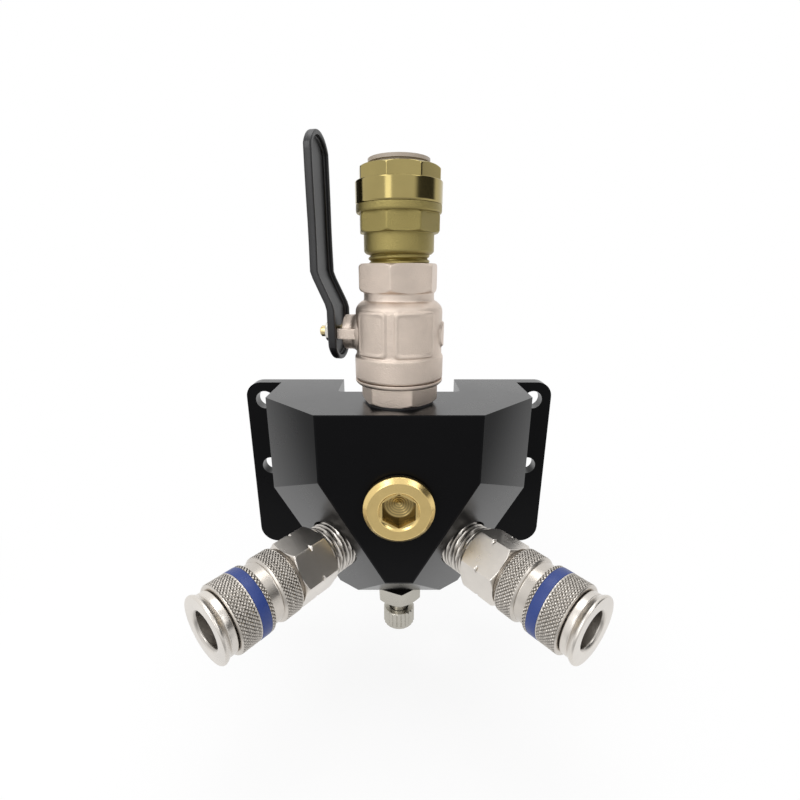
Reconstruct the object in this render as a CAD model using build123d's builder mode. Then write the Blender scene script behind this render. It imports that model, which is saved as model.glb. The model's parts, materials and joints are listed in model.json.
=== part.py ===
"""Compressed air wall manifold.

A machined block carries a ball valve with a push-fit tube inlet on top, two quick couplers
on its lower facets, a plugged port in its front face and a drain cock underneath.

Frame: the origin is the centre of the four wall screws, on the wall. +Z is up, +X is to the
right of someone who faces the wall, and the object stands out towards -Y. Millimetres.
"""

import os
from math import asin, cos, degrees, hypot, radians, sin, sqrt, tan

from build123d import *

# Wall plate of the block
screw_spacing_x = 120.0
screw_spacing_z = 32.0
screw_hole_radius = 4.0
plate_edge_margin = 8.0
plate_thickness = 6.0
plate_height = 81.0
plate_top_radius = 6.5
plate_bottom_radius = 8.0
top_above_screws = 24.0

# Body of the block
block_depth = 54.0
block_height = 85.0
body_half_width = 52.0
bevel_depth = 23.0
shoulder_height = 25.5
vee_angle = 61.0
facet_width = 26.5
face_height = 68.5
channel_half_width = 25.0
channel_depth = 22.0
channel_corner_radius = 2.0
edge_break = 0.4

# Threads, drawn as plain cylinders at their outside diameter
half_inch_radius = 10.48
eighth_inch_radius = 4.86
thread_gap = 0.05
thread_mouth_bevel = 0.8
thread_lead = 1.0
small_thread_lead = 0.7

# Hexagons, their bevels, and cuts that run past a surface
hex_face_share = 0.98
hex_bevel_angle = 30.0
hex_core_inset = 1.0
joint_lap = 1.0
cut_over = 1.0

# Passages in the block
inlet_setback = 35.5
inlet_thread_depth = 16.0
chamber_radius = 8.5
chamber_depth = 60.0
drill_point = 3.0
plug_height = 35.0
plug_thread_depth = 13.0
outlet_across_facet = 17.7
outlet_down_edge = 30.2
outlet_tilt = 15.0
outlet_skew = 4.0
outlet_thread_depth = 11.0
outlet_spot_radius = 11.4
outlet_spot_depth = 1.2
outlet_drill_radius = 4.0
outlet_meets_chamber = 47.0
drain_setback = 31.0
drain_thread_depth = 9.5
drain_drill_radius = 3.0

# Ball valve; its ball's height is above the top of the block
seal_thickness = 0.8
seal_radius = 12.6
valve_turn = -11.0
adapter_turn = 18.0
valve_across_flats = 25.0
adapter_hex_height = 6.7
adapter_flange_height = 1.8
adapter_flange_bevel = 1.2
seam_gap = 0.15
barrel_radius = 15.4
lower_band_radius = 16.0
lower_band_height = 8.4
lower_band_bevel = 0.8
barrel_rise = 11.1
barrel_shoulder = 1.6
neck_radius = 12.3
neck_length = 3.2
valve_hex_height = 9.3
ball_height = 25.5
ball_radius = 11.5
valve_bore_radius = 7.5
cavity_radius = 12.0
seat_height = 4.5
seat_back = 10.5
seat_gap = 0.05
seat_side_gap = 0.1
spigot_radius = 13.5
adapter_thread_length = 12.0
valve_thread_depth = 11.6
panel_proud = 0.5
panel_drop = 6.8
panel_height = 15.1
panel_left = (-52.0, -5.5)
panel_right = (5.5, 59.5)
blind_boss_radius = 4.2
blind_boss_proud = 0.7

# Valve stem and its gland, distances along the stem from the centre of the ball
stem_radius = 3.0
stem_gap = 0.08
tang_width = 2.4
tang_length = 7.0
tang_gap = 0.1
tang_start = 8.7
stem_flange_start = 12.4
stem_flange_radius = 4.3
stem_flange_thickness = 1.0
thrust_thickness = 0.7
stem_pocket_end = 14.2
gland_pocket_start = 15.3
gland_pocket_radius = 4.5
packing_thickness = 1.4
boss_radius = 6.2
boss_end = 19.8
gland_end = 20.2
gland_slot_width = 1.2
gland_slot_depth = 1.0
stem_square_start = 21.2
stem_square = 4.2
stem_square_gap = 0.1
stem_end_bevel = 0.5
stem_thread_radius = 2.0
stem_end = 29.5
lug_width = 3.6
lug_inner = 5.0
lug_outer = 7.5
lug_end = 21.2

# Lever, a pressed channel on the stem
hub_radius = 10.0
lever_outer_face = 24.0
lever_wall = 2.0
lever_channel_depth = 5.2
lever_crank = 4.4
crank_start = 9.5
crank_end = 20.0
lever_length = 65.0
lever_root_half_width = 9.0
lever_waist_half_width = 8.3
lever_tip_radius = 9.6
lever_waist_at = 40.0
stop_rib_radius = 6.5
stop_rib_height = 1.7
stop_rib_lap = 0.2
stop_play = 1.0
lever_travel = 90.0
lever_nut_flats = 7.0
lever_nut_height = 3.0

# Push-fit inlet
tube_radius = 7.5
tube_gap = 0.15
pushfit_thread_length = 10.4
pushfit_thread_shown = 2.9
pushfit_barrel_radius = 11.9
pushfit_barrel_length = 6.6
pushfit_barrel_bevel = 0.8
octagon_radius = 14.0
octagon_length = 6.0
octagon_turn = -16.0
pushfit_band_radius = 14.3
pushfit_band_length = 2.6
tube_stop_rise = 4.5
tube_socket_length = 7.0
pushfit_bore_radius = 6.8
o_ring_section = 1.25
pocket_radius = 10.4
pushfit_spigot_length = 2.8
pushfit_spigot_radius = 12.4
spigot_end_gap = 0.2
cap_radius = 14.4
cap_band_length = 6.9
cap_facet_radius = 13.9
cap_facet_length = 4.3
cap_chamber_radius = 11.3
cap_chamber_lead = 0.7
cap_cone_height = 1.8
collet_radius = 9.0
collet_gap = 0.15
collet_rim_radius = 10.1
collet_rim_thickness = 1.1
collet_rim_gap = 0.1
collet_travel = 1.1
collet_foot_gap = 0.2
collet_foot_radius = 10.8
collet_foot_height = 2.2
collet_foot_bevel = 0.6
collet_cone_height = 1.8
collet_slots = 6
collet_slot_width = 1.6
collet_slot_height = 6.0
collet_slot_reach = 5.0
spacer_thickness = 2.0
spacer_gap = 0.1
bore_lining_gap = 0.2

# Front plug
plug_collar_radius = 13.1
plug_collar_thickness = 3.4
plug_collar_bevel = 1.6
plug_washer_thickness = 0.8
plug_washer_inset = 0.4
plug_thread_length = 11.0
plug_socket_flats = 12.0
plug_recess_radius = 7.6
plug_recess_depth = 0.7
plug_socket_depth = 6.0
plug_cone_depth = 1.6
plug_cone_inset = 0.5

# Quick couplers, distances along their axis from the spot face
coupler_thread_length = 9.5
coupler_thread_shown = 10.1
coupler_flats = 22.4
coupler_hex_length = 15.7
coupler_neck_lap = 0.5
coupler_neck_radius = 9.4
rear_ring_gap = 1.2
rear_ring_length = 8.0
rear_ring_radius = 12.6
rear_ring_bevel = 0.8
waist_radius = 11.4
waist_spare = 0.4
spigot_lap = 2.0
spring_pocket_radius = 10.5
spring_pocket_floor = 1.2
sleeve_length = 12.9
sleeve_radius = 12.7
sleeve_bevel = 0.5
sleeve_gap = 0.1
sleeve_travel = 3.5
narrow_knurl = 1.7
colour_band_width = 3.8
colour_band_depth = 0.6
colour_band_proud = 0.05
nose_radius = 9.0
land_gap = 0.05
land_lead = 1.2
release_lead = 0.3
release_radius = 10.1
nose_tail_radius = 7.6
nose_tail_length = 11.0
collar_radius = 11.3
collar_gap = 0.3
collar_bevel = 0.5
rim_radius = 12.4
rim_thickness = 2.2
rim_bevel = 0.5
rim_front = 5.5
mouth_radius = 6.4
mouth_lead_radius = 6.7
mouth_lead_gap = 1.3
mouth_bevel = 0.8
poppet_bore_radius = 6.0
body_bore_radius = 4.5
body_chamber_radius = 6.6
ball_bearing_radius = 1.5
ball_hole_gap = 0.08
ball_bearing_setback = 4.4
ball_circle_radius = 7.48
ball_bearing_count = 4
seal_ring_setback = 3.7
seal_ring_length = 2.4
seal_ring_gap = 0.05
seal_ring_outer = 7.3
seal_ring_inner = 4.7
poppet_head_radius = 5.3
poppet_head_length = 2.2
poppet_head_gap = 0.1
poppet_nose_radius = 4.3
poppet_nose_wall = 1.2
poppet_nose_bevel = 0.5
poppet_nose_proud = 0.8
poppet_stem_radius = 2.6
poppet_guide_setback = 3.5
poppet_guide_length = 6.0
poppet_guide_gap = 0.1
poppet_travel = 5.0
poppet_spring_room = 5.0
poppet_spring_wire = 0.45
poppet_spring_radius = 4.6
poppet_spring_turns = 4.0
sleeve_spring_wire = 0.4
sleeve_spring_radius = 9.9
sleeve_spring_turns = 4.0
spring_end_gap = 0.1

# Drain cock, distances below the block
drain_hex_flats = 16.0
drain_hex_height = 6.2
drain_thread_length = 8.5
drain_cone_radius = 7.4
drain_cone_height = 3.3
drain_neck_radius = 4.0
drain_neck_end = 16.0
drain_seat_depth = 7.0
drain_seat_bore = 1.6
spindle_radius = 2.5
spindle_gap = 0.08
outlet_hole_radius = 1.3
outlet_hole_depth = 9.3
drain_core_lap = 0.5
knob_cover = 1.2
knob_end = 21.4
knob_radius = 6.9
knob_bevel = 0.5
knob_ribs = 24
knob_rib_depth = 0.45
knob_hollow_end = 18.4
knob_hollow_gap = 0.4
tip_radius = 1.6
tip_seal_radius = 2.3
tip_seal_thickness = 1.0
tip_seal_gap = 0.05
tip_length = 2.6
spindle_ring_section = 0.4
spindle_ring_depth = 12.0
spindle_groove_length = 0.96
spindle_ring_squeeze = 0.03
spindle_ring_drop = 0.02
drain_pitch = 1.0
drain_turns = 1.5

os.makedirs("parts", exist_ok=True)


def save(piece, name):
    """Label a finished piece and write it under its node's name."""
    piece.label = name
    export_step(piece, f"parts/{name}.step")


def turn(plane, points, mode=Mode.ADD, arc=360.0):
    """Turn a half section about the plane's axis; points are (radius, distance along it)."""
    side = Plane(origin=plane.origin, x_dir=plane.x_dir, z_dir=plane.y_dir * -1)
    with BuildSketch(side) as section:
        with BuildLine():
            Polyline(*points, close=True)
        make_face()
    revolve(section.sketch, axis=Axis(plane.origin, plane.z_dir), revolution_arc=arc, mode=mode)


def spun(plane, angle):
    """Return a plane turned about its own Z axis."""
    x_dir = plane.x_dir.rotate(Axis((0, 0, 0), plane.z_dir), angle)
    return Plane(origin=plane.origin, x_dir=x_dir, z_dir=plane.z_dir)


def bar(plane, shape_radius, sides, start, end, angle=0.0, mode=Mode.ADD):
    """Extrude a regular polygon, given by its corner radius, from start to end on the axis."""
    with BuildSketch(plane.offset(start)) as section:
        RegularPolygon(shape_radius, sides, rotation=angle)
    extrude(section.sketch, amount=end - start, dir=plane.z_dir, mode=mode)


def hexagon(plane, flats, start, end, angle=0.0):
    """Make a hexagon with its corners bevelled at both ends; it is a block's first feature."""
    corner = flats / sqrt(3)
    face_radius = flats / 2 * hex_face_share
    bevel = (corner - face_radius) * tan(radians(hex_bevel_angle))
    bar(plane, corner, 6, start, end, angle)
    ends = [
        (0, start), (face_radius, start), (corner, start + bevel), (corner, end - bevel),
        (face_radius, end), (0, end),
    ]
    turn(plane, ends, mode=Mode.INTERSECT)


def drill(plane, radius, start, end):
    """Cut a round hole along the plane's axis between two distances."""
    with BuildSketch(plane.offset(start)) as section:
        Circle(radius)
    extrude(section.sketch, amount=end - start, dir=plane.z_dir, mode=Mode.SUBTRACT)


def port(plane, radius, depth, spot_radius, clearance):
    """Cut a spot face and a tapped hole with a bevelled mouth and a drill point."""
    hole = radius + thread_gap
    section = [
        (0, clearance), (spot_radius, clearance), (spot_radius, 0),
        (hole + thread_mouth_bevel, 0), (hole, -thread_mouth_bevel),
        (hole, -depth), (0, -depth),
    ]
    turn(plane, section, mode=Mode.SUBTRACT)


def ring(plane, inner, outer, start, end):
    """Turn a plain ring."""
    turn(plane, [(inner, start), (outer, start), (outer, end), (inner, end)])


def spring(plane, coil_radius, wire, start, end, turns):
    """Sweep a wire along a helix that just fits between start and end."""
    first = start + wire + spring_end_gap
    rise = end - start - 2 * (wire + spring_end_gap)
    base = plane.offset(first)
    with BuildLine() as coil:
        Helix(
            pitch=rise / turns, height=rise, radius=coil_radius, center=base.origin,
            direction=base.z_dir,
        )
    with BuildSketch(Plane(origin=coil.line @ 0, z_dir=coil.line % 0)) as section:
        Circle(wire)
    sweep(section.sketch, path=coil.line, is_frenet=True)


# Reference places worked out from the driving sizes
block_top = top_above_screws
plate_half_width = screw_spacing_x / 2 + plate_edge_margin
face_half_width = body_half_width - bevel_depth
edge_cos = cos(radians(vee_angle))
edge_sin = sin(radians(vee_angle))
shoulder_z = block_top - shoulder_height
outer_shoulder_z = shoulder_z - (facet_width - bevel_depth * edge_sin) / edge_cos
block_bottom = block_top - block_height
bottom_half_width = body_half_width - (outer_shoulder_z - block_bottom) / tan(radians(vee_angle))
face_bottom = block_top - face_height

# Manifold block: an outline cut back by bevel planes, with a plate for the wall screws
facet_depth = hypot(facet_width, bevel_depth)
vee_down = Vector(-edge_cos, 0, -edge_sin)
facet_across = Vector(
    edge_sin * facet_width, bevel_depth, -edge_cos * facet_width
) / facet_depth
facet_normal = vee_down.cross(facet_across)
vee_corner = Vector(face_half_width, -block_depth, shoulder_z)
outlet_point = vee_corner + vee_down * outlet_down_edge + facet_across * outlet_across_facet
outlet_lean = vee_down * tan(radians(outlet_tilt)) + facet_across * tan(radians(outlet_skew))
outlet_axis = (facet_normal - outlet_lean).normalized()
outlet_point = outlet_point - outlet_axis * outlet_spot_depth


def mirrored(vector, side):
    """Return a vector, with its X turned round for the left side."""
    return Vector(side * vector.X, vector.Y, vector.Z)


def outlet_plane(side):
    """The spot face of one outlet, with Z along the coupler and X up the vee edge."""
    return Plane(
        origin=mirrored(outlet_point, side),
        x_dir=mirrored(vee_down * -1, side),
        z_dir=mirrored(outlet_axis, side),
    )


inlet_plane = Plane(origin=(0, -inlet_setback, block_top))
plug_plane = Plane(
    origin=(0, -block_depth, block_top - plug_height), x_dir=(1, 0, 0), z_dir=(0, -1, 0)
)
drain_plane = Plane(
    origin=(0, -drain_setback, block_bottom), x_dir=(1, 0, 0), z_dir=(0, 0, -1)
)
chamber_meeting = Vector(0, -inlet_setback, block_top - outlet_meets_chamber)

with BuildPart() as manifold_block:
    outline = [
        (body_half_width, block_top), (body_half_width, outer_shoulder_z),
        (bottom_half_width, block_bottom), (-bottom_half_width, block_bottom),
        (-body_half_width, outer_shoulder_z), (-body_half_width, block_top),
    ]
    with BuildSketch(Plane.XZ):
        with BuildLine():
            Polyline(*outline, close=True)
        make_face()
    extrude(amount=block_depth)
    for side in (-1, 1):
        corner = mirrored(vee_corner, side)
        split(bisect_by=Plane(origin=corner, z_dir=(side, -1, 0)), keep=Keep.BOTTOM)
        split(
            bisect_by=Plane(origin=corner, z_dir=mirrored(facet_normal, side)), keep=Keep.BOTTOM
        )
    split(
        bisect_by=Plane(origin=(0, -block_depth, face_bottom), z_dir=(0, -1, -1)),
        keep=Keep.BOTTOM,
    )
    chamfer(manifold_block.faces().sort_by(Axis.Y)[0].edges(), length=edge_break)
    with BuildSketch(Plane.XZ) as wall_plate:
        with Locations((0, block_top - plate_height / 2)):
            Rectangle(2 * plate_half_width, plate_height)
        fillet(wall_plate.vertices().group_by(Axis.Y)[-1], radius=plate_top_radius)
        fillet(wall_plate.vertices().group_by(Axis.Y)[0], radius=plate_bottom_radius)
    extrude(amount=plate_thickness)
    with BuildSketch(Plane.XY.offset(block_top)):
        with Locations((0, -channel_depth / 2)):
            channel = Rectangle(2 * channel_half_width, channel_depth)
        fillet(channel.vertices().group_by(Axis.Y)[0], radius=channel_corner_radius)
    extrude(amount=-block_height, mode=Mode.SUBTRACT)
    with BuildSketch(Plane.XZ):
        with GridLocations(screw_spacing_x, screw_spacing_z, 2, 2):
            Circle(screw_hole_radius)
    extrude(amount=plate_thickness, mode=Mode.SUBTRACT)
    port(inlet_plane, half_inch_radius, inlet_thread_depth, seal_radius, cut_over)
    chamber = [
        (0, 0), (chamber_radius, 0), (chamber_radius, -chamber_depth),
        (0, -chamber_depth - drill_point),
    ]
    turn(inlet_plane, chamber, mode=Mode.SUBTRACT)
    port(plug_plane, half_inch_radius, plug_thread_depth, plug_collar_radius, cut_over)
    port(drain_plane, eighth_inch_radius, drain_thread_depth, drain_cone_radius, cut_over)
    drill(drain_plane, drain_drill_radius, 0, -(block_height - chamber_depth + drill_point))
    for side in (-1, 1):
        port(outlet_plane(side), half_inch_radius, outlet_thread_depth,
             outlet_spot_radius, outlet_spot_radius)
        inward = chamber_meeting - outlet_plane(side).origin
        drill(
            Plane(origin=outlet_plane(side).origin, z_dir=inward.normalized()),
            outlet_drill_radius, 0, inward.length,
        )
save(manifold_block.part, "manifold_block")

# Seal under the valve
with BuildPart() as inlet_seal_washer:
    ring(inlet_plane, half_inch_radius + thread_gap, seal_radius, 0, seal_thickness)
save(inlet_seal_washer.part, "inlet_seal_washer")

# Ball valve: planes on its own axis and along its stem
valve_plane = spun(inlet_plane, valve_turn)
ball_centre = Vector(0, -inlet_setback, block_top + ball_height)
stem_direction = Vector(-cos(radians(valve_turn)), -sin(radians(valve_turn)), 0)
stem_plane = Plane(origin=ball_centre, x_dir=(0, 0, 1), z_dir=stem_direction)
adapter_hex_top = seal_thickness + adapter_hex_height
adapter_flange_top = adapter_hex_top + adapter_flange_height
body_base = adapter_flange_top + seam_gap
seat_top = ball_height + seat_back
seat_base = ball_height - seat_back
barrel_top = ball_height + barrel_rise
valve_hex_base = barrel_top + neck_length
valve_top = valve_hex_base + valve_hex_height
panel_base = ball_height - panel_drop
adapter_core_radius = valve_across_flats / 2 - hex_core_inset
lower_band_top = body_base + lower_band_height

with BuildPart() as valve_end_adapter:
    hexagon(inlet_plane, valve_across_flats, seal_thickness, adapter_hex_top, adapter_turn)
    shell = [
        (0, -adapter_thread_length), (half_inch_radius - thread_lead, -adapter_thread_length),
        (half_inch_radius, -adapter_thread_length + thread_lead),
        (half_inch_radius, seal_thickness + joint_lap),
        (adapter_core_radius, seal_thickness + joint_lap), (adapter_core_radius, adapter_hex_top),
        (lower_band_radius - adapter_flange_bevel, adapter_hex_top),
        (lower_band_radius, adapter_hex_top + adapter_flange_bevel),
        (lower_band_radius, adapter_flange_top), (spigot_radius, adapter_flange_top),
        (spigot_radius, seat_base), (0, seat_base),
    ]
    turn(inlet_plane, shell)
    drill(inlet_plane, valve_bore_radius, -adapter_thread_length, seat_base)
save(valve_end_adapter.part, "valve_end_adapter")

with BuildPart() as valve_body:
    hexagon(valve_plane, valve_across_flats, valve_hex_base, valve_top, 30)
    barrel = [
        (0, body_base), (lower_band_radius, body_base),
        (lower_band_radius, lower_band_top),
        (barrel_radius, lower_band_top + lower_band_bevel),
        (barrel_radius, barrel_top - barrel_shoulder),
        (barrel_radius - barrel_shoulder, barrel_top), (neck_radius, barrel_top),
        (neck_radius, valve_hex_base + joint_lap), (0, valve_hex_base + joint_lap),
    ]
    turn(valve_plane, barrel)
    panel = [
        (barrel_radius - joint_lap, panel_base), (barrel_radius + panel_proud, panel_base),
        (barrel_radius + panel_proud, panel_base + panel_height),
        (barrel_radius - joint_lap, panel_base + panel_height),
    ]
    for first, last in (panel_left, panel_right):
        for half_turn in (-90.0, 90.0):
            turn(spun(valve_plane, half_turn + first), panel, arc=last - first)
    with BuildSketch(stem_plane) as boss:
        Circle(boss_radius)
    extrude(boss.sketch, amount=boss_end)
    with BuildSketch(stem_plane.offset(-barrel_radius - blind_boss_proud)) as blind_boss:
        Circle(blind_boss_radius)
    extrude(blind_boss.sketch, amount=barrel_radius)
    with BuildSketch(stem_plane) as lug:
        with Locations((0, -(lug_inner + lug_outer) / 2)):
            Rectangle(lug_width, lug_outer - lug_inner)
    extrude(lug.sketch, amount=lug_end)
    turn(valve_plane, [
        (0, body_base), (spigot_radius + thread_gap, body_base),
        (spigot_radius + thread_gap, seat_base), (cavity_radius, seat_base),
        (cavity_radius, seat_top), (0, seat_top),
    ], mode=Mode.SUBTRACT)
    drill(valve_plane, valve_bore_radius, seat_top, valve_top)
    drill(valve_plane, half_inch_radius + thread_gap, valve_top - valve_thread_depth, valve_top)
    drill(stem_plane, stem_radius + stem_gap, ball_radius, boss_end)
    drill(stem_plane, stem_flange_radius + stem_gap, ball_radius, stem_pocket_end)
    drill(stem_plane, gland_pocket_radius, gland_pocket_start, boss_end)
save(valve_body.part, "valve_body")

ball_plane = Plane(origin=ball_centre, x_dir=stem_direction, z_dir=(0, 0, 1))
with BuildPart(ball_plane) as valve_ball:
    Sphere(ball_radius)
    Cylinder(valve_bore_radius, 2 * ball_radius, mode=Mode.SUBTRACT)
    slot_start = tang_start - tang_gap
    with Locations(((slot_start + ball_radius) / 2, 0, 0)):
        Box(
            ball_radius - slot_start, tang_width + 2 * tang_gap, tang_length + 2 * tang_gap,
            mode=Mode.SUBTRACT,
        )
save(valve_ball.part, "valve_ball")

seat_sphere = ball_radius + seat_gap
seat_inner = valve_bore_radius + seat_side_gap
seat_outer = cavity_radius - seat_side_gap
seat_lip = seat_back - seat_height
for name, up in (("upper_ball_seat", 1), ("lower_ball_seat", -1)):
    seat_side = Plane(origin=ball_centre, x_dir=(1, 0, 0), z_dir=(0, -up, 0))
    with BuildPart() as ball_seat:
        with BuildSketch(seat_side) as section:
            with BuildLine():
                touch = sqrt(seat_sphere**2 - seat_inner**2)
                lip = sqrt(seat_sphere**2 - seat_lip**2)
                middle = (touch + seat_lip) / 2
                Polyline(
                    (seat_inner, touch), (seat_inner, seat_back), (seat_outer, seat_back),
                    (seat_outer, seat_lip), (lip, seat_lip),
                )
                ThreePointArc(
                    (lip, seat_lip), (sqrt(seat_sphere**2 - middle**2), middle),
                    (seat_inner, touch),
                )
            make_face()
        revolve(section.sketch, axis=Axis(ball_centre, (0, 0, 1)))
    save(ball_seat.part, name)

# Stem, packing and gland
stem_flange_end = stem_flange_start + stem_flange_thickness
with BuildPart() as valve_stem:
    turn(stem_plane, [
        (0, stem_flange_start), (stem_flange_radius, stem_flange_start),
        (stem_flange_radius, stem_flange_end), (stem_radius, stem_flange_end),
        (stem_radius, stem_square_start), (stem_thread_radius, stem_square_start),
        (stem_thread_radius, stem_end - stem_end_bevel),
        (stem_thread_radius - stem_end_bevel, stem_end), (0, stem_end),
    ])
    with BuildSketch(stem_plane.offset(tang_start)) as tang:
        Rectangle(tang_length, tang_width)
    extrude(tang.sketch, amount=stem_flange_start - tang_start)
    with BuildSketch(stem_plane.offset(stem_square_start)) as square:
        Rectangle(stem_square, stem_square)
    extrude(square.sketch, amount=lever_outer_face - stem_square_start)
save(valve_stem.part, "valve_stem")

with BuildPart() as stem_thrust_washer:
    ring(stem_plane, stem_radius + stem_gap, stem_flange_radius, stem_flange_end,
         stem_flange_end + thrust_thickness)
save(stem_thrust_washer.part, "stem_thrust_washer")

packing_end = gland_pocket_start + packing_thickness
with BuildPart() as stem_packing:
    ring(stem_plane, stem_radius + stem_gap, gland_pocket_radius - thread_gap,
         gland_pocket_start, packing_end)
save(stem_packing.part, "stem_packing")

with BuildPart() as stem_gland_nut:
    ring(stem_plane, stem_radius + stem_gap, gland_pocket_radius - thread_gap,
         packing_end, gland_end)
    with BuildSketch(stem_plane.offset(gland_end)) as slot:
        Rectangle(gland_slot_width, 2 * gland_pocket_radius)
    extrude(slot.sketch, amount=-gland_slot_depth, mode=Mode.SUBTRACT)
save(stem_gland_nut.part, "stem_gland_nut")

# Lever: a cranked channel, made as a folded slab less a folded hollow
lever_side = Plane(origin=ball_centre, x_dir=(0, 0, 1), z_dir=stem_plane.y_dir * -1)
web_inner_face = lever_outer_face - lever_wall
rim_face = lever_outer_face - lever_channel_depth


def lever_slab(inner, outer, inset):
    """Fold a slab between two faces and cut it to the lever's outline, moved in by inset."""
    low = -hub_radius - cut_over
    high = lever_length + cut_over
    with BuildSketch(lever_side) as fold:
        with BuildLine():
            Polyline(
                (low, inner), (crank_start, inner), (crank_end, inner + lever_crank),
                (high, inner + lever_crank), (high, outer + lever_crank),
                (crank_end, outer + lever_crank), (crank_start, outer), (low, outer),
                close=True,
            )
        make_face()
    extrude(fold.sketch, amount=2 * hub_radius, both=True)
    tip = lever_length - lever_tip_radius
    with BuildSketch(stem_plane.offset(inner)) as shape:
        Circle(hub_radius - inset)
        with Locations((tip, 0)):
            Circle(lever_tip_radius - inset)
        half = [
            (0, lever_root_half_width - inset), (crank_end, lever_root_half_width - inset),
            (lever_waist_at, lever_waist_half_width - inset), (tip, lever_tip_radius - inset),
        ]
        other_half = [(x, -y) for x, y in reversed(half)]
        with BuildLine():
            Polyline(*half, *other_half, close=True)
        make_face()
    extrude(shape.sketch, amount=outer - inner + lever_crank, mode=Mode.INTERSECT)


with BuildPart(mode=Mode.PRIVATE) as lever_hollow:
    lever_slab(rim_face - cut_over, web_inner_face, lever_wall)

with BuildPart() as valve_lever:
    lever_slab(rim_face, lever_outer_face, 0)
    add(lever_hollow.part, mode=Mode.SUBTRACT)
    lug_angle = degrees(asin(lug_width / 2 / stop_rib_radius)) + stop_play
    rib_outer = hub_radius - lever_wall + stop_rib_lap
    rib_top = web_inner_face + stop_rib_lap
    rib_base = web_inner_face - stop_rib_height
    stop_rib = [
        (stop_rib_radius, rib_base), (rib_outer, rib_base), (rib_outer, rib_top),
        (stop_rib_radius, rib_top),
    ]
    turn(spun(stem_plane, lug_angle), stop_rib, arc=360 - lever_travel - 2 * lug_angle)
    with BuildSketch(stem_plane.offset(web_inner_face - cut_over)) as square_hole:
        Rectangle(stem_square + stem_square_gap, stem_square + stem_square_gap)
    extrude(square_hole.sketch, amount=lever_wall + 2 * cut_over, mode=Mode.SUBTRACT)
save(valve_lever.part, "valve_lever")

with BuildPart() as lever_nut:
    hexagon(stem_plane, lever_nut_flats, lever_outer_face, lever_outer_face + lever_nut_height)
    drill(stem_plane, stem_thread_radius + thread_gap, lever_outer_face,
          lever_outer_face + lever_nut_height)
save(lever_nut.part, "lever_nut")

# Push-fit inlet: the body, its cap and what they hold are stacked on the valve
pushfit_thread_top = valve_top + pushfit_thread_shown
pushfit_barrel_top = pushfit_thread_top + pushfit_barrel_length
octagon_top = pushfit_barrel_top + octagon_length
pushfit_band_top = octagon_top + pushfit_band_length
spigot_top = pushfit_band_top + pushfit_spigot_length
cap_band_top = pushfit_band_top + cap_band_length
cap_top = cap_band_top + cap_facet_length
tube_stop_height = pushfit_thread_top + tube_stop_rise
o_ring_seat_height = tube_stop_height + tube_socket_length
tube_bore = tube_radius + tube_gap
lining = tube_radius + bore_lining_gap
collet_base = spigot_top + collet_travel + collet_foot_gap
collet_foot_top = collet_base + collet_foot_height
cap_chamber_top = collet_foot_top + cap_chamber_lead
cap_cone_top = cap_chamber_top + cap_cone_height
with BuildPart() as pushfit_body:
    bar(inlet_plane, octagon_radius, 8, pushfit_barrel_top, octagon_top, octagon_turn)
    thread_base = valve_top - pushfit_thread_length
    turn(inlet_plane, [
        (0, thread_base), (half_inch_radius - thread_lead, thread_base),
        (half_inch_radius, thread_base + thread_lead), (half_inch_radius, pushfit_thread_top),
        (pushfit_barrel_radius - pushfit_barrel_bevel, pushfit_thread_top),
        (pushfit_barrel_radius, pushfit_thread_top + pushfit_barrel_bevel),
        (pushfit_barrel_radius, octagon_top), (pushfit_band_radius, octagon_top),
        (pushfit_band_radius, pushfit_band_top), (pushfit_spigot_radius, pushfit_band_top),
        (pushfit_spigot_radius, spigot_top), (0, spigot_top),
    ])
    drill(inlet_plane, pushfit_bore_radius, thread_base, tube_stop_height)
    drill(inlet_plane, tube_bore, tube_stop_height, spigot_top)
    drill(inlet_plane, pocket_radius, o_ring_seat_height, spigot_top)
save(pushfit_body.part, "pushfit_body")

with BuildPart() as pushfit_cap:
    bar(inlet_plane, cap_facet_radius, 8, cap_band_top, cap_top, octagon_turn)
    turn(inlet_plane, [
        (0, pushfit_band_top), (cap_radius, pushfit_band_top), (cap_radius, cap_band_top),
        (0, cap_band_top),
    ])
    turn(inlet_plane, [
        (0, pushfit_band_top), (pushfit_spigot_radius + thread_gap, pushfit_band_top),
        (pushfit_spigot_radius + thread_gap, spigot_top + spigot_end_gap),
        (cap_chamber_radius, spigot_top + spigot_end_gap), (cap_chamber_radius, cap_chamber_top),
        (collet_radius + collet_gap, cap_cone_top), (collet_radius + collet_gap, cap_top),
        (0, cap_top),
    ], mode=Mode.SUBTRACT)
save(pushfit_cap.part, "pushfit_cap")

with BuildPart(inlet_plane.offset(o_ring_seat_height + o_ring_section)) as pushfit_o_ring:
    Torus(lining + o_ring_section, o_ring_section)
save(pushfit_o_ring.part, "pushfit_o_ring")

spacer_base = o_ring_seat_height + 2 * o_ring_section + spacer_gap
with BuildPart() as pushfit_spacer:
    ring(inlet_plane, lining, pocket_radius - spacer_gap, spacer_base,
         spacer_base + spacer_thickness)
save(pushfit_spacer.part, "pushfit_spacer")

rim_base = cap_top + collet_travel + collet_rim_gap
with BuildPart() as pushfit_collet:
    turn(inlet_plane, [
        (lining, collet_base), (collet_foot_radius - collet_foot_bevel, collet_base),
        (collet_foot_radius, collet_base + collet_foot_bevel),
        (collet_foot_radius, collet_foot_top),
        (collet_radius, collet_foot_top + collet_cone_height), (collet_radius, rim_base),
        (collet_rim_radius, rim_base), (collet_rim_radius, rim_base + collet_rim_thickness),
        (lining, rim_base + collet_rim_thickness),
    ])
    with BuildSketch(inlet_plane.offset(collet_base)) as slots:
        with PolarLocations(collet_radius, collet_slots):
            Rectangle(collet_slot_reach, collet_slot_width)
    extrude(slots.sketch, amount=collet_slot_height, mode=Mode.SUBTRACT)
save(pushfit_collet.part, "pushfit_collet")

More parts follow.
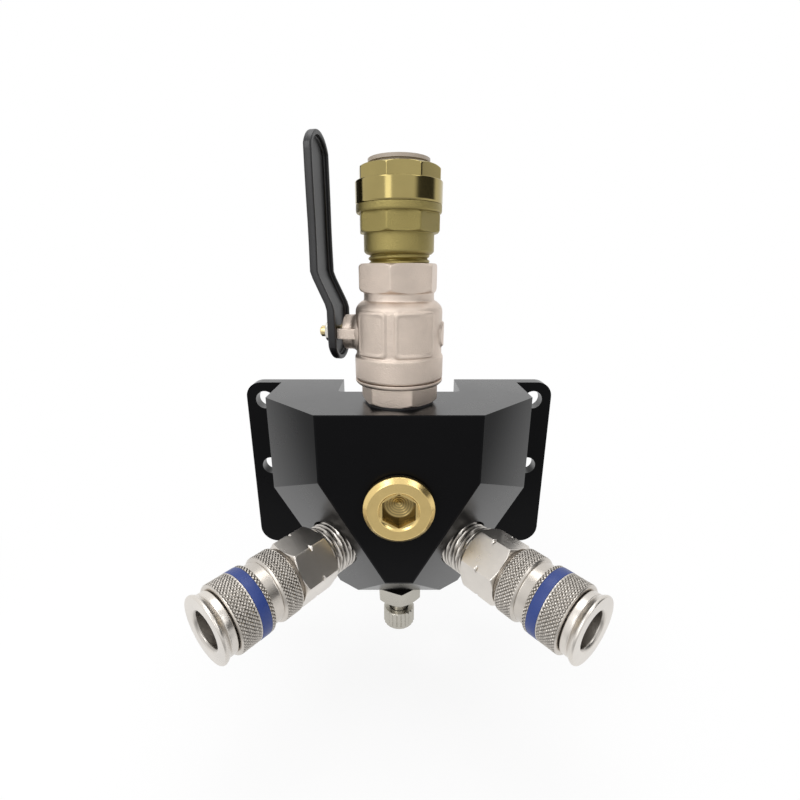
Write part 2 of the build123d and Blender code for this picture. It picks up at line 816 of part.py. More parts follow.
# Front plug and its washer
collar_base = plug_washer_thickness
collar_face = collar_base + plug_collar_thickness
with BuildPart() as front_plug:
    turn(plug_plane, [
        (0, -plug_thread_length), (half_inch_radius - thread_lead, -plug_thread_length),
        (half_inch_radius, -plug_thread_length + thread_lead), (half_inch_radius, collar_base),
        (plug_collar_radius, collar_base), (plug_collar_radius, collar_face - plug_collar_bevel),
        (plug_collar_radius - plug_collar_bevel, collar_face),
        (plug_recess_radius, collar_face),
        (plug_recess_radius - plug_recess_depth, collar_face - plug_recess_depth),
        (0, collar_face - plug_recess_depth),
    ])
    socket_floor = collar_face - plug_socket_depth
    bar(plug_plane, plug_socket_flats / sqrt(3), 6, socket_floor, collar_face, 30,
        mode=Mode.SUBTRACT)
    turn(plug_plane, [
        (0, socket_floor), (plug_socket_flats / 2 - plug_cone_inset, socket_floor),
        (0, socket_floor - plug_cone_depth),
    ], mode=Mode.SUBTRACT)
save(front_plug.part, "front_plug")

with BuildPart() as plug_washer:
    ring(plug_plane, half_inch_radius + thread_gap, plug_collar_radius - plug_washer_inset, 0,
         plug_washer_thickness)
save(plug_washer.part, "plug_washer")

# Quick couplers, one for each lower facet
hex_end = coupler_thread_shown + coupler_hex_length
rear_ring_start = hex_end + rear_ring_gap
rear_ring_end = rear_ring_start + rear_ring_length
pocket_start = rear_ring_end + spring_pocket_floor
waist_end = rear_ring_end + sleeve_travel + waist_spare
spigot_end = waist_end + spigot_lap
sleeve_end = waist_end + sleeve_length
band_start = waist_end + narrow_knurl
band_end = band_start + colour_band_width
ball_bearing_at = sleeve_end - ball_bearing_setback
ball_bearing_rear = ball_bearing_at - ball_bearing_radius
land_rear = ball_bearing_rear - land_lead
release_start = ball_bearing_rear - release_lead + sleeve_travel
mouth_lead_start = ball_bearing_at + ball_bearing_radius + mouth_lead_gap
collar_start = sleeve_end + collar_gap
coupler_length = sleeve_end + rim_front
rim_start = coupler_length - rim_thickness
nose_tail_start = rear_ring_end - nose_tail_length
seal_ring_start = rear_ring_end + seal_ring_setback
seal_ring_end = seal_ring_start + seal_ring_length
poppet_head_end = seal_ring_start - poppet_head_gap
poppet_head_start = poppet_head_end - poppet_head_length
poppet_nose_end = seal_ring_end + poppet_nose_proud
poppet_guide_start = nose_tail_start + poppet_guide_setback
poppet_guide_end = poppet_guide_start + poppet_guide_length
body_chamber_start = poppet_guide_start - poppet_travel - poppet_spring_room
sleeve_bore = waist_radius + sleeve_gap
band_floor = sleeve_radius - colour_band_depth

for hand, side in (("left", -1), ("right", 1)):
    axis_plane = outlet_plane(side)

    with BuildPart() as coupler_body:
        hexagon(axis_plane, coupler_flats, coupler_thread_shown, hex_end, 10 * side)
        turn(axis_plane, [
            (0, -coupler_thread_length), (half_inch_radius - thread_lead, -coupler_thread_length),
            (half_inch_radius, -coupler_thread_length + thread_lead),
            (half_inch_radius, coupler_thread_shown + coupler_neck_lap),
            (coupler_neck_radius, coupler_thread_shown + coupler_neck_lap),
            (coupler_neck_radius, rear_ring_end), (0, rear_ring_end),
        ])
        drill(axis_plane, body_bore_radius, -coupler_thread_length, body_chamber_start)
        drill(axis_plane, body_chamber_radius, body_chamber_start, nose_tail_start)
        drill(axis_plane, nose_tail_radius + thread_gap, nose_tail_start, rear_ring_end)
    save(coupler_body.part, f"{hand}_coupler_body")

    with BuildPart() as rear_ring:
        inner = coupler_neck_radius + thread_gap
        turn(axis_plane, [
            (inner, rear_ring_start), (rear_ring_radius - rear_ring_bevel, rear_ring_start),
            (rear_ring_radius, rear_ring_start + rear_ring_bevel),
            (rear_ring_radius, rear_ring_end - rear_ring_bevel),
            (rear_ring_radius - rear_ring_bevel, rear_ring_end), (waist_radius, rear_ring_end),
            (waist_radius, spigot_end), (spring_pocket_radius, spigot_end),
            (spring_pocket_radius, pocket_start), (inner, pocket_start),
        ])
    save(rear_ring.part, f"{hand}_rear_ring")

    with BuildPart() as sleeve:
        turn(axis_plane, [
            (sleeve_bore, waist_end), (sleeve_radius - sleeve_bevel, waist_end),
            (sleeve_radius, waist_end + sleeve_bevel), (sleeve_radius, band_start),
            (band_floor, band_start), (band_floor, band_end), (sleeve_radius, band_end),
            (sleeve_radius, sleeve_end - sleeve_bevel),
            (sleeve_radius - sleeve_bevel, sleeve_end), (release_radius, sleeve_end),
            (release_radius, release_start), (nose_radius + land_gap, release_start),
            (nose_radius + land_gap, land_rear), (sleeve_bore, land_rear),
        ])
    save(sleeve.part, f"{hand}_sleeve")

    with BuildPart() as colour_band:
        ring(axis_plane, band_floor, sleeve_radius + colour_band_proud, band_start, band_end)
    save(colour_band.part, f"{hand}_colour_band")

    with BuildPart() as nose:
        turn(axis_plane, [
            (poppet_bore_radius, nose_tail_start), (nose_tail_radius, nose_tail_start),
            (nose_tail_radius, rear_ring_end), (nose_radius, rear_ring_end),
            (nose_radius, collar_start), (collar_radius, collar_start),
            (collar_radius, rim_start - 2 * collar_bevel),
            (collar_radius - collar_bevel, rim_start - collar_bevel),
            (rim_radius, rim_start), (rim_radius, coupler_length - rim_bevel),
            (rim_radius - rim_bevel, coupler_length),
            (mouth_lead_radius + mouth_bevel, coupler_length),
            (mouth_lead_radius, coupler_length - mouth_bevel),
            (mouth_lead_radius, mouth_lead_start), (mouth_radius, mouth_lead_start),
            (mouth_radius, seal_ring_end), (seal_ring_outer + seal_ring_gap, seal_ring_end),
            (seal_ring_outer + seal_ring_gap, seal_ring_start),
            (poppet_bore_radius, seal_ring_start),
        ])
        ball_level = axis_plane.offset(ball_bearing_at)
        for quarter in range(ball_bearing_count):
            angle = 360.0 / ball_bearing_count * quarter
            across = spun(ball_level, angle)
            hole = Plane(origin=across.origin, x_dir=across.z_dir, z_dir=across.x_dir)
            drill(hole, ball_bearing_radius + ball_hole_gap, mouth_radius - cut_over,
                  nose_radius + cut_over)
    save(nose.part, f"{hand}_nose")

    with BuildPart(axis_plane.offset(ball_bearing_at)) as locking_balls:
        with PolarLocations(ball_circle_radius, ball_bearing_count):
            Sphere(ball_bearing_radius)
    save(locking_balls.part, f"{hand}_locking_balls")

    with BuildPart() as nose_seal:
        ring(axis_plane, seal_ring_inner, seal_ring_outer, seal_ring_start, seal_ring_end)
    save(nose_seal.part, f"{hand}_nose_seal")

    with BuildPart() as poppet:
        bar(axis_plane, poppet_bore_radius - poppet_guide_gap, 6, poppet_guide_start,
            poppet_guide_end)
        turn(axis_plane, [
            (0, poppet_guide_start), (poppet_stem_radius, poppet_guide_start),
            (poppet_stem_radius, poppet_head_start), (poppet_head_radius, poppet_head_start),
            (poppet_head_radius, poppet_head_end), (poppet_nose_radius, poppet_head_end),
            (poppet_nose_radius, poppet_nose_end - poppet_nose_bevel),
            (poppet_nose_radius - poppet_nose_bevel, poppet_nose_end),
            (poppet_nose_radius - poppet_nose_wall, poppet_nose_end),
            (poppet_nose_radius - poppet_nose_wall, poppet_head_end), (0, poppet_head_end),
        ])
    save(poppet.part, f"{hand}_poppet")

    with BuildPart() as poppet_spring:
        spring(axis_plane, poppet_spring_radius, poppet_spring_wire, body_chamber_start,
               poppet_guide_start, poppet_spring_turns)
    save(poppet_spring.part, f"{hand}_poppet_spring")

    with BuildPart() as sleeve_spring:
        spring(axis_plane, sleeve_spring_radius, sleeve_spring_wire, pocket_start, land_rear,
               sleeve_spring_turns)
    save(sleeve_spring.part, f"{hand}_sleeve_spring")

# Drain cock
drain_cone_end = drain_hex_height + drain_cone_height
with BuildPart() as drain_body:
    hexagon(drain_plane, drain_hex_flats, 0, drain_hex_height, 30)
    turn(drain_plane, [
        (0, -drain_thread_length), (eighth_inch_radius - small_thread_lead, -drain_thread_length),
        (eighth_inch_radius, -drain_thread_length + small_thread_lead),
        (eighth_inch_radius, drain_core_lap), (drain_cone_radius, drain_core_lap),
        (drain_cone_radius, drain_hex_height),
        (drain_neck_radius, drain_cone_end), (drain_neck_radius, drain_neck_end),
        (0, drain_neck_end),
    ])
    drill(drain_plane, drain_seat_bore, -drain_thread_length, drain_seat_depth)
    drill(drain_plane, spindle_radius + spindle_gap, drain_seat_depth, drain_neck_end)
    outlet_level = drain_plane.offset(outlet_hole_depth)
    side_hole = Plane(origin=outlet_level.origin, x_dir=(1, 0, 0), z_dir=(0, -1, 0))
    drill(side_hole, outlet_hole_radius, 0, drain_cone_radius + cut_over)
save(drain_body.part, "drain_body")

knob_start = drain_neck_end - drain_pitch * drain_turns - knob_cover
tip_start = drain_seat_depth + tip_seal_gap
spindle_tip = tip_start + tip_seal_thickness
with BuildPart() as drain_knob:
    turn(drain_plane, [
        (0, spindle_tip), (tip_radius, spindle_tip), (tip_radius, spindle_tip + tip_length),
        (spindle_radius, spindle_tip + tip_length), (spindle_radius, knob_hollow_end),
        (drain_neck_radius + knob_hollow_gap, knob_hollow_end),
        (drain_neck_radius + knob_hollow_gap, knob_start), (knob_radius - knob_bevel, knob_start),
        (knob_radius, knob_start + knob_bevel), (knob_radius, knob_end - knob_bevel),
        (knob_radius - knob_bevel, knob_end), (0, knob_end),
    ])
    with BuildSketch(drain_plane.offset(knob_start)) as grooves:
        with PolarLocations(knob_radius + knob_rib_depth, knob_ribs):
            Circle(2 * knob_rib_depth)
    extrude(grooves.sketch, amount=knob_end - knob_start, mode=Mode.SUBTRACT)
    groove_floor = spindle_radius - 2 * spindle_ring_section
    groove_outer = spindle_radius + spindle_gap
    groove_end = spindle_ring_depth + spindle_groove_length
    turn(drain_plane, [
        (groove_floor, spindle_ring_depth), (groove_outer, spindle_ring_depth),
        (groove_outer, groove_end), (groove_floor, groove_end),
    ], mode=Mode.SUBTRACT)
save(drain_knob.part, "drain_knob")

groove_middle = (spindle_ring_depth + groove_end) / 2
with BuildPart(drain_plane.offset(groove_middle)) as spindle_o_ring:
    Torus(
        spindle_radius - spindle_ring_section + spindle_ring_drop,
        spindle_ring_section - spindle_ring_squeeze,
    )
save(spindle_o_ring.part, "spindle_o_ring")

with BuildPart() as drain_tip_seal:
    ring(drain_plane, 0, tip_seal_radius, tip_start, spindle_tip)
save(drain_tip_seal.part, "drain_tip_seal")

print("outlet axis", outlet_axis, "outlet point", outlet_point)
print("lever axis", stem_direction * -1, "pivot", ball_centre)
print("drain seal travel", drain_pitch * drain_turns, "coupler length", coupler_length)
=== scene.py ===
import json
from math import radians

import bmesh
import bpy
import numpy as np
from mathutils import Euler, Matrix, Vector


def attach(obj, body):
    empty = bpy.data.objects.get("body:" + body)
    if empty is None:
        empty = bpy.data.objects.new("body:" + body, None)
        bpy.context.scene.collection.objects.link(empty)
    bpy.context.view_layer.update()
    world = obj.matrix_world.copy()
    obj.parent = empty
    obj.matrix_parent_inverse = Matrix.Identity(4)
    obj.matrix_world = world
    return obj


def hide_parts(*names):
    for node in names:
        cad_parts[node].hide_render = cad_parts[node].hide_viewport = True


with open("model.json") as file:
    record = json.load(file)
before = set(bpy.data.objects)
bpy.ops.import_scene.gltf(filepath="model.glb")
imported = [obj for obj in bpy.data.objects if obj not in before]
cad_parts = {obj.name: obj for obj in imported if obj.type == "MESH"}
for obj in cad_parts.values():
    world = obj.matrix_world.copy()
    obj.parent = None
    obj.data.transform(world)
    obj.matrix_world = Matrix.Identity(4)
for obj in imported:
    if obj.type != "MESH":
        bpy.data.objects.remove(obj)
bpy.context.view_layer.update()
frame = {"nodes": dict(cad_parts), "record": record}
nodes = frame["nodes"]

# %% [markdown]
# ## The camera
# The picture was taken from close by and a little above the block, so the parts that stand
# out look large. A camera can be placed by eye, but here the block's corners and screw holes
# fix it: their places in the picture were worked back to one viewpoint and focal length.
# A lens shift then keeps the framing, because turning the camera would change the view.
# %% Place the camera
frame_pixels = 800
focal_pixels = 445.0
camera_pitch = 18.31
camera_place = (0.0, -0.19807, 0.07035)
centre_line = (399.0, 419.3)

camera_data = bpy.data.cameras.new("camera")
camera_data.sensor_width = 36.0
camera_data.lens = camera_data.sensor_width * focal_pixels / frame_pixels
camera_data.shift_x = (frame_pixels / 2 - centre_line[0]) / frame_pixels
camera_data.shift_y = (centre_line[1] - frame_pixels / 2) / frame_pixels
camera_data.clip_start = 0.01
camera = bpy.data.objects.new("camera", camera_data)
camera.location = camera_place
camera.rotation_euler = Euler((radians(90 - camera_pitch), 0, 0))
bpy.context.scene.collection.objects.link(camera)
bpy.context.scene.camera = camera
print("lens in millimetres:", round(camera_data.lens, 2))

# %% [markdown]
# ## Axes to build on
# Nearly every piece is turned about an axis. Objects could be made upright and then turned
# into place, but their meshes would no longer share the CAD parts' coordinates. So each piece
# is worked out in its place, from an axis of its own: a point, a direction and the direction
# from which angles are counted, in millimetres. Meshes are scaled to metres when made.
# %% Name the axes


def axis(origin, along, zero):
    """Return a point, and the unit directions x (angle zero), y (a quarter turn on) and z."""
    z = np.array(along, float) / np.linalg.norm(along)
    x = np.array(zero, float) - np.dot(zero, z) * z
    x /= np.linalg.norm(x)
    return np.array(origin, float), x, np.cross(z, x), z


def spun(line, degrees):
    """Count the same axis's angles from a direction turned by some degrees."""
    origin, x, y, z = line
    turn = radians(degrees)
    return origin, np.cos(turn) * x + np.sin(turn) * y, np.cos(turn) * y - np.sin(turn) * x, z


block_top = 24.0
valve_front = -35.5
stem_height = 25.5
valve_turn = -11.0
sides = {"left": -1, "right": 1}
inlet = axis((0, valve_front, block_top), (0, 0, 1), (1, 0, 0))
valve = spun(inlet, valve_turn)
stem = axis((0, valve_front, block_top + stem_height), -valve[1], (0, 0, 1))
plug = axis((0, -54, -11), (0, -1, 0), (1, 0, 0))
drain = axis((0, -31, -61), (0, 0, -1), (1, 0, 0))
couplers = {
    hand: axis(
        (side * 25.2903, -41.4717, -34.3273), (side * 0.633176, -0.772, -0.055726),
        (side * 0.48481, 0, 0.87462),
    )
    for hand, side in sides.items()
}
print("axes:", len((inlet, valve, stem, plug, drain)) + len(couplers))

# %% [markdown]
# ## Turned surfaces
# A lathe makes most of these parts, and Blender's Screw modifier could do the same. It can't
# change the radius with the angle, though, which is how hexagons, knurls, threads and raised
# panels come about. So one function carries a profile of (distance along the axis, radius)
# round the axis, and a shape function may change each radius. Corners of real parts are
# never quite sharp, so profiles pass through a rounding step first.
# %% Profiles and grids


def rounded(corners, size=0.3, steps=4):
    """Round a closed profile: each corner becomes a quadratic curve between two points that
    lie `size` along its two sides, or half a side where that is shorter. A corner may bring
    a size of its own as its third number."""
    here = np.array([c[:2] for c in corners], float)
    sizes = np.array([c[2] if len(c) > 2 else size for c in corners], float)[:, None]
    before, after = np.roll(here, 1, 0) - here, np.roll(here, -1, 0) - here
    reach = [np.minimum(sizes / np.maximum(np.linalg.norm(way, axis=1, keepdims=True), 1e-9), 0.49)
             for way in (before, after)]
    start, end = here + before * reach[0], here + after * reach[1]
    t = np.linspace(0, 1, steps)[None, :, None]
    curve = (1 - t) ** 2 * start[:, None] + 2 * t * (1 - t) * here[:, None] + t**2 * end[:, None]
    return curve.reshape(-1, 2)


def filled(profile, step):
    """Add points to a closed profile so that none are further apart than `step`."""
    ring = np.vstack([profile, profile[:1]])
    run = np.concatenate([[0], np.cumsum(np.linalg.norm(np.diff(ring, axis=0), axis=1))])
    marks = np.unique(np.round(np.concatenate([run, np.arange(0, run[-1], step)]), 4))[:-1]
    return np.stack([np.interp(marks, run, ring[:, k]) for k in (0, 1)], 1)


def turned(line, profile, columns=192, shape=None):
    """Point (i, j) is at distance s_i along the axis and radius r_i from it, at the angle
    2 pi j / columns. shape(angle, s, r) returns the radius where the section isn't round, or
    the radius and an unshaded value from 0 (most painted shade, in hollows) to 1 (none)."""
    origin, x, y, z = line
    angle, along = np.meshgrid(
        np.linspace(0, 2 * np.pi, columns, endpoint=False), profile[:, 0]
    )
    radius = np.repeat(profile[:, 1:2], columns, 1)
    unshaded = np.ones_like(radius)
    if shape:
        radius = shape(angle, along, radius)
        if isinstance(radius, tuple):
            radius, unshaded = radius
    out = np.cos(angle)[..., None] * x + np.sin(angle)[..., None] * y
    return origin + along[..., None] * z + radius[..., None] * out, along, unshaded


square = [(0, 0), (0, 1), (1, 1), (1, 0)]
print("points of a square:", len(square), "and of its rounded profile:", len(rounded(square)))

# %% [markdown]
# ## From grids to meshes
# A grid of points becomes a mesh by joining each point to its neighbours. The profile is
# closed and the angle comes round, so every grid is a closed shell; where it touches the
# axis, the doubled points are merged. Two attributes go with the points for the finishes:
# the distance along the axis, and the painted shade of hollows, which is 1 less the unshaded
# value. The CAD parts have no such attribute. It reads as 0 there, and so as no painted shade.
# %% Make pieces
merge_distance = 2e-7


def make(name, body, slot, grids, stands_for, sharp=40.0, seam=True):
    """Put closed grids (points, along, unshaded values) into one mesh of quads on a CAD body, with
    the painted shade as an attribute. Without a seam the last row isn't joined to the first, for
    two sheets that end on one line."""
    spots, marks, hollow_shades, faces, first = [], [], [], [], 0
    for points, along, unshaded in grids:
        rows, columns = points.shape[:2]
        index = first + np.arange(rows * columns).reshape(rows, columns)
        right, up = np.roll(index, -1, 1), np.roll(index, -1, 0)
        quads = np.stack([index, right, np.roll(right, -1, 0), up], -1)
        faces.append(quads[:None if seam else -1].reshape(-1, 4))
        spots.append(points.reshape(-1, 3) / 1000)
        marks.append(along.ravel())
        hollow_shades.append(1 - unshaded.ravel())
        first += rows * columns
    mesh = bpy.data.meshes.new(name)
    mesh.from_pydata(np.vstack(spots).tolist(), [], np.vstack(faces).tolist())
    # The second attribute is the painted shade, which is 1 less the unshaded value.
    for title, values in (("along", marks), ("hollow_shade", hollow_shades)):
        layer = mesh.attributes.new(title, "FLOAT", "POINT")
        layer.data.foreach_set("value", np.concatenate(values).astype(np.float32))
    work = bmesh.new()
    work.from_mesh(mesh)
    bmesh.ops.remove_doubles(work, verts=work.verts, dist=merge_distance)
    bmesh.ops.delete(work, geom=[e for e in work.edges if not e.link_faces], context="EDGES")
    bmesh.ops.recalc_face_normals(work, faces=work.faces)
    work.to_mesh(mesh)
    work.free()
    mesh.shade_smooth()
    mesh.set_sharp_from_angle(angle=radians(sharp))
    piece = bpy.data.objects.new(name, mesh)
    bpy.context.scene.collection.objects.link(piece)
    mesh.materials.append(finishes[slot])
    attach(piece, body)
    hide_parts(*stands_for)
    print(f"{name}: {len(mesh.polygons)} faces")


print("points merge below this many metres:", merge_distance)

# %% [markdown]
# ## Helpers for nodes
# Materials, the floor and the world are all node trees. Nodes can be placed by hand in the
# shader editor; in a script, three small helpers keep the trees readable: one adds a node,
# one passes smoothly between two values, and one joins two values by a sum or a product.
# %% Define the node helpers


def node(tree, kind, **values):
    """Add a node, and set its inputs by name or its own properties."""
    new = tree.nodes.new("ShaderNode" + kind)
    for title, value in values.items():
        if title in new.inputs:
            new.inputs[title].default_value = value
        else:
            setattr(new, title, value)
    return new


def ramp(tree, value, low, high, first, last):
    """Pass smoothly from first to last while the value goes from low to high."""
    ends = {"From Min": low, "From Max": high, "To Min": first, "To Max": last}
    new = node(tree, "MapRange", interpolation_type="SMOOTHSTEP", **ends)
    tree.links.new(value, new.inputs["Value"])
    return new.outputs["Result"]


def combine(tree, operation, a, b):
    """Join two values, of which the second may be a plain number."""
    new = node(tree, "Math", operation=operation)
    tree.links.new(a, new.inputs[0])
    if isinstance(b, float):
        new.inputs[1].default_value = b
    else:
        tree.links.new(b, new.inputs[1])
    return new.outputs[0]


print("node helpers:", [helper.__name__ for helper in (node, ramp, combine)])

# %% [markdown]
# ## Shared effects for the finishes
# Three effects come back in many finishes: a fine grain as blasting and casting leave it, the
# fine rings that a lathe tool leaves, and slow blotches from handling. They could be built
# anew in each material, but as node groups they are made once and get their own values in
# each. A group puts out a height for the bump and a tone for colour and roughness, and the
# shader itself stays in the material. All three start and end alike, so two functions do it.
# %% Start and end a node group


def start_group(name, knob, value):
    """Start a node group with one knob and a range of tones. It puts out height and tone."""
    tree = bpy.data.node_groups.new(name, "ShaderNodeTree")
    for title, number in ((knob, value), ("Tone Low", 0.9), ("Tone High", 1.1)):
        socket = tree.interface.new_socket(title, in_out="INPUT", socket_type="NodeSocketFloat")
        socket.default_value = number
    for title in ("Height", "Tone"):
        tree.interface.new_socket(title, in_out="OUTPUT", socket_type="NodeSocketFloat")
    return tree


def end_group(tree, knob, noise):
    """Let the knob set a noise's scale, put out its height, and map its middle range onto
    the range of tones."""
    inside, outside = tree.nodes.new("NodeGroupInput"), tree.nodes.new("NodeGroupOutput")
    tone = node(tree, "MapRange", **{"From Min": 0.3, "From Max": 0.7})
    for start, end in (
        (inside.outputs[knob], noise.inputs["Scale"]),
        (noise.outputs["Fac"], outside.inputs["Height"]),
        (noise.outputs["Fac"], tone.inputs["Value"]),
        (inside.outputs["Tone Low"], tone.inputs["To Min"]),
        (inside.outputs["Tone High"], tone.inputs["To Max"]),
        (tone.outputs["Result"], outside.inputs["Tone"]),
    ):
        tree.links.new(start, end)


print("every effect puts out a height and a tone")

# %% [markdown]
# ## Grain, blotches and rings
# Grain and blotches are one noise at two scales, in space. Rings go round the part, so their
# noise has one dimension: the distance along the axis, which each mesh carries as a mark.
# %% Build the three effects


def noise_group(name, scale, detail):
    """Noise on Object coordinates, which stay with the piece when it moves."""
    tree = start_group(name, "Scale", scale)
    place = node(tree, "TexCoord")
    noise = node(tree, "TexNoise", Detail=detail, Roughness=0.6)
    tree.links.new(place.outputs["Object"], noise.inputs["Vector"])
    end_group(tree, "Scale", noise)
    return tree


grain_group = noise_group("fine grain", 2600.0, 3.0)
blotch_group = noise_group("blotches", 60.0, 4.0)
ring_group = start_group("lathe rings", "Rings per mm", 3.0)
ring_mark = node(ring_group, "Attribute", attribute_name="along")
ring_noise = node(ring_group, "TexNoise", noise_dimensions="1D", Detail=3.0, Roughness=0.7)
ring_group.links.new(ring_mark.outputs["Fac"], ring_noise.inputs["W"])
end_group(ring_group, "Rings per mm", ring_noise)
print("node groups:", [effect.name for effect in (grain_group, blotch_group, ring_group)])

# %% [markdown]
# ## What a finish is made of
# Image textures could colour the metal, but noise needs no unwrapping and stays sharp up
# close. Grain and rings are bumps, and painted shade darkens the hollows of knurls and threads.
# The block's anodising shines only where it is seen from the side, so its gloss follows the
# angle in steps, and fine upright lines stand for the grain that its milling left.
# %% Parts of a finish
colour_a, colour_b, colour_out = 6, 7, 2  # a Mix node's sockets that carry colours


def bumped(tree, height, distance, strength, under=None):
    """Bend the normal by a height, on top of another bump if there is one."""
    bump = node(tree, "Bump", Distance=distance, Strength=strength)
    tree.links.new(height, bump.inputs["Height"])
    if under:
        tree.links.new(under, bump.inputs["Normal"])
    return bump.outputs["Normal"]


def hollow_shade_tone(tree, share):
    """Painted shade: 1 on crests, falling to the share of colour that is left in the shaded
    hollows.
    """
    mark = node(tree, "Attribute", attribute_name="hollow_shade")
    shading = node(tree, "MapRange", **{"To Min": 1.0, "To Max": share})
    tree.links.new(mark.outputs["Fac"], shading.inputs["Value"])
    return shading.outputs["Result"]


def milled_lines(tree, stretch):
    """A bump from noise that is stretched into lines, by scales along X, Y and Z."""
    place = node(tree, "TexCoord")
    mapping = node(tree, "Mapping", Scale=stretch)
    lines = node(tree, "TexNoise", Scale=1.0, Detail=3.0)
    tree.links.new(place.outputs["Object"], mapping.inputs["Vector"])
    tree.links.new(mapping.outputs["Vector"], lines.inputs["Vector"])
    return bumped(tree, lines.outputs["Fac"], 2e-5, 0.6)


def angled_gloss(tree, steps):
    """Multiply steps (low, high, first, last) over how far the surface faces away."""
    facing = node(tree, "LayerWeight", Blend=0.5).outputs["Facing"]
    level = ramp(tree, facing, *steps[0])
    for step in steps[1:]:
        level = combine(tree, "MULTIPLY", level, ramp(tree, facing, *step))
    return level


print("parts of a finish:",
      [part.__name__ for part in (bumped, hollow_shade_tone, milled_lines, angled_gloss)])

# %% [markdown]
# ## One function for all finishes
# Every finish is one Principled shader. Each could be built by hand, but a function that
# takes colour, roughness and the strength of each effect keeps them alike and easy to
# compare. The blotches' tone varies both colour and roughness, as wear does.
# %% Define a finish


def finish(name, colour, rough, metal=1.0, grain=(0, 2600), rings=(0, 3), blotch=0.08,
           hollow_shade=1.0, coat=0.0, gloss=None, stretch=None):
    """Build a material. grain and rings are (bump depth in mm, scale), blotch is how far the
    tone wanders from 1, and coat is the weight of a clear layer. The share of colour that
    painted shade leaves in hollows, the gloss steps and the stretch go to the functions above."""
    material = bpy.data.materials.new(name)
    material.use_nodes = True
    tree = material.node_tree
    tree.nodes.clear()
    out = node(tree, "OutputMaterial")
    shader = node(tree, "BsdfPrincipled", Metallic=metal,
                  **{"Coat Weight": coat, "Coat Roughness": 0.06})
    tree.links.new(shader.outputs[0], out.inputs["Surface"])

    blotches = node(tree, "Group", node_tree=blotch_group,
                    **{"Tone Low": 1 - blotch, "Tone High": 1 + blotch})
    wander = tone = blotches.outputs["Tone"]
    # The tone carries the blotches and, for threads and knurls, painted shade in their hollows.
    if hollow_shade < 1:
        tone = combine(tree, "MULTIPLY", hollow_shade_tone(tree, hollow_shade), tone)
    tint = node(tree, "Mix", data_type="RGBA", blend_type="MULTIPLY", Factor=1.0)
    tint.inputs[colour_a].default_value = (*colour, 1)
    tree.links.new(tone, tint.inputs[colour_b])
    tree.links.new(tint.outputs[colour_out], shader.inputs["Base Color"])
    tree.links.new(combine(tree, "MULTIPLY", wander, rough), shader.inputs["Roughness"])

    normal = None
    for (depth, scale), effect, knob in ((grain, grain_group, "Scale"),
                                         (rings, ring_group, "Rings per mm")):
        if depth:
            marks = node(tree, "Group", node_tree=effect, **{knob: scale})
            normal = bumped(tree, marks.outputs["Height"], depth / 1000, 1.0, normal)
    if stretch:
        normal = milled_lines(tree, stretch)
    if normal:
        tree.links.new(normal, shader.inputs["Normal"])
    if gloss:
        tree.links.new(angled_gloss(tree, gloss), shader.inputs["Specular IOR Level"])
    return material


print("a finish takes its effects from", len((grain_group, blotch_group, ring_group)), "groups")

# %% [markdown]
# ## The finishes
# Every slot of the part gets one material, so that a whole finish can be changed at once.
# Metals differ in colour, roughness and marks: the valve is blasted and then nickel plated,
# the couplers are turned and plated, the inlet is cast brass with polished bands, and the
# plug is turned brass. Anodising is a dark skin that is no metal to the light.
# %% Make a material for each slot
# Threads and knurls set the share of colour that painted shade leaves in their hollows.
finishes = {
    "black_anodised": finish("black anodised aluminium", (0.003, 0.003, 0.0035), 0.28, 0.0,
                             stretch=(2500, 2500, 60), blotch=0.05,
                             gloss=((0.48, 0.66, 0.08, 0.9), (0.66, 0.76, 1.0, 0.66))),
    "blasted_nickel": finish("blasted nickel", (0.68, 0.58, 0.5), 0.42, grain=(0.16, 2400),
                             blotch=0.12),
    "nickel_brass": finish("turned nickel", (0.7, 0.66, 0.61), 0.29, rings=(0.012, 4),
                           hollow_shade=0.2),
    "knurled_nickel": finish("knurled nickel", (0.6, 0.56, 0.51), 0.3, hollow_shade=0.15),
    "bright_nickel": finish("bright nickel", (0.47, 0.45, 0.4), 0.26, hollow_shade=0.4),
    "cast_brass": finish("cast brass", (0.33, 0.27, 0.1), 0.4, grain=(0.18, 2600)),
    "polished_brass": finish("polished brass", (0.37, 0.3, 0.12), 0.14, rings=(0.004, 5)),
    "turned_brass": finish("turned brass", (0.83, 0.62, 0.26), 0.26, rings=(0.006, 4),
                           hollow_shade=0.25),
    "plain_brass": finish("plain brass", (0.62, 0.5, 0.26), 0.3, rings=(0.006, 4)),
    "chrome_ball": finish("chromed ball", (0.82, 0.82, 0.83), 0.06, blotch=0.02),
    "zinc_steel": finish("zinc plated steel", (0.6, 0.58, 0.54), 0.3, grain=(0.01, 3000)),
    "spring_steel": finish("spring steel", (0.45, 0.45, 0.46), 0.25, blotch=0.03),
    "black_vinyl": finish("black vinyl dip", (0.004, 0.004, 0.005), 0.38, 0.0, coat=0.06,
                          grain=(0.02, 500)),
    "black_rubber": finish("black rubber", (0.015, 0.015, 0.016), 0.6, 0.0, grain=(0.01, 3000)),
    "white_seal": finish("white seal plastic", (0.8, 0.8, 0.77), 0.4, 0.0, blotch=0.02),
    "grey_plastic": finish("warm grey plastic", (0.42, 0.36, 0.3), 0.45, 0.0,
                           grain=(0.01, 2500), blotch=0.04),
    "blue_plastic": finish("blue plastic", (0.018, 0.045, 0.21), 0.42, 0.0,
                           grain=(0.008, 2500), blotch=0.05),
}
slot_of = {row["node"]: row["material_slot"] for row in frame["record"]["subparts"]}
for title, part in nodes.items():
    part.data.materials.clear()
    part.data.materials.append(finishes[slot_of[title]])
print("finishes:", len(finishes))

# %% [markdown]
# ## Hexagons and other flats
# A spanner needs flats, which a mill cuts from the turned bar. A Boolean would do that to a
# mesh, but it leaves long thin faces. Here the radius is cut back to the polygon's instead,
# with a smooth passage at the corners, so the grid keeps its even faces.
# %% Shapes for flats


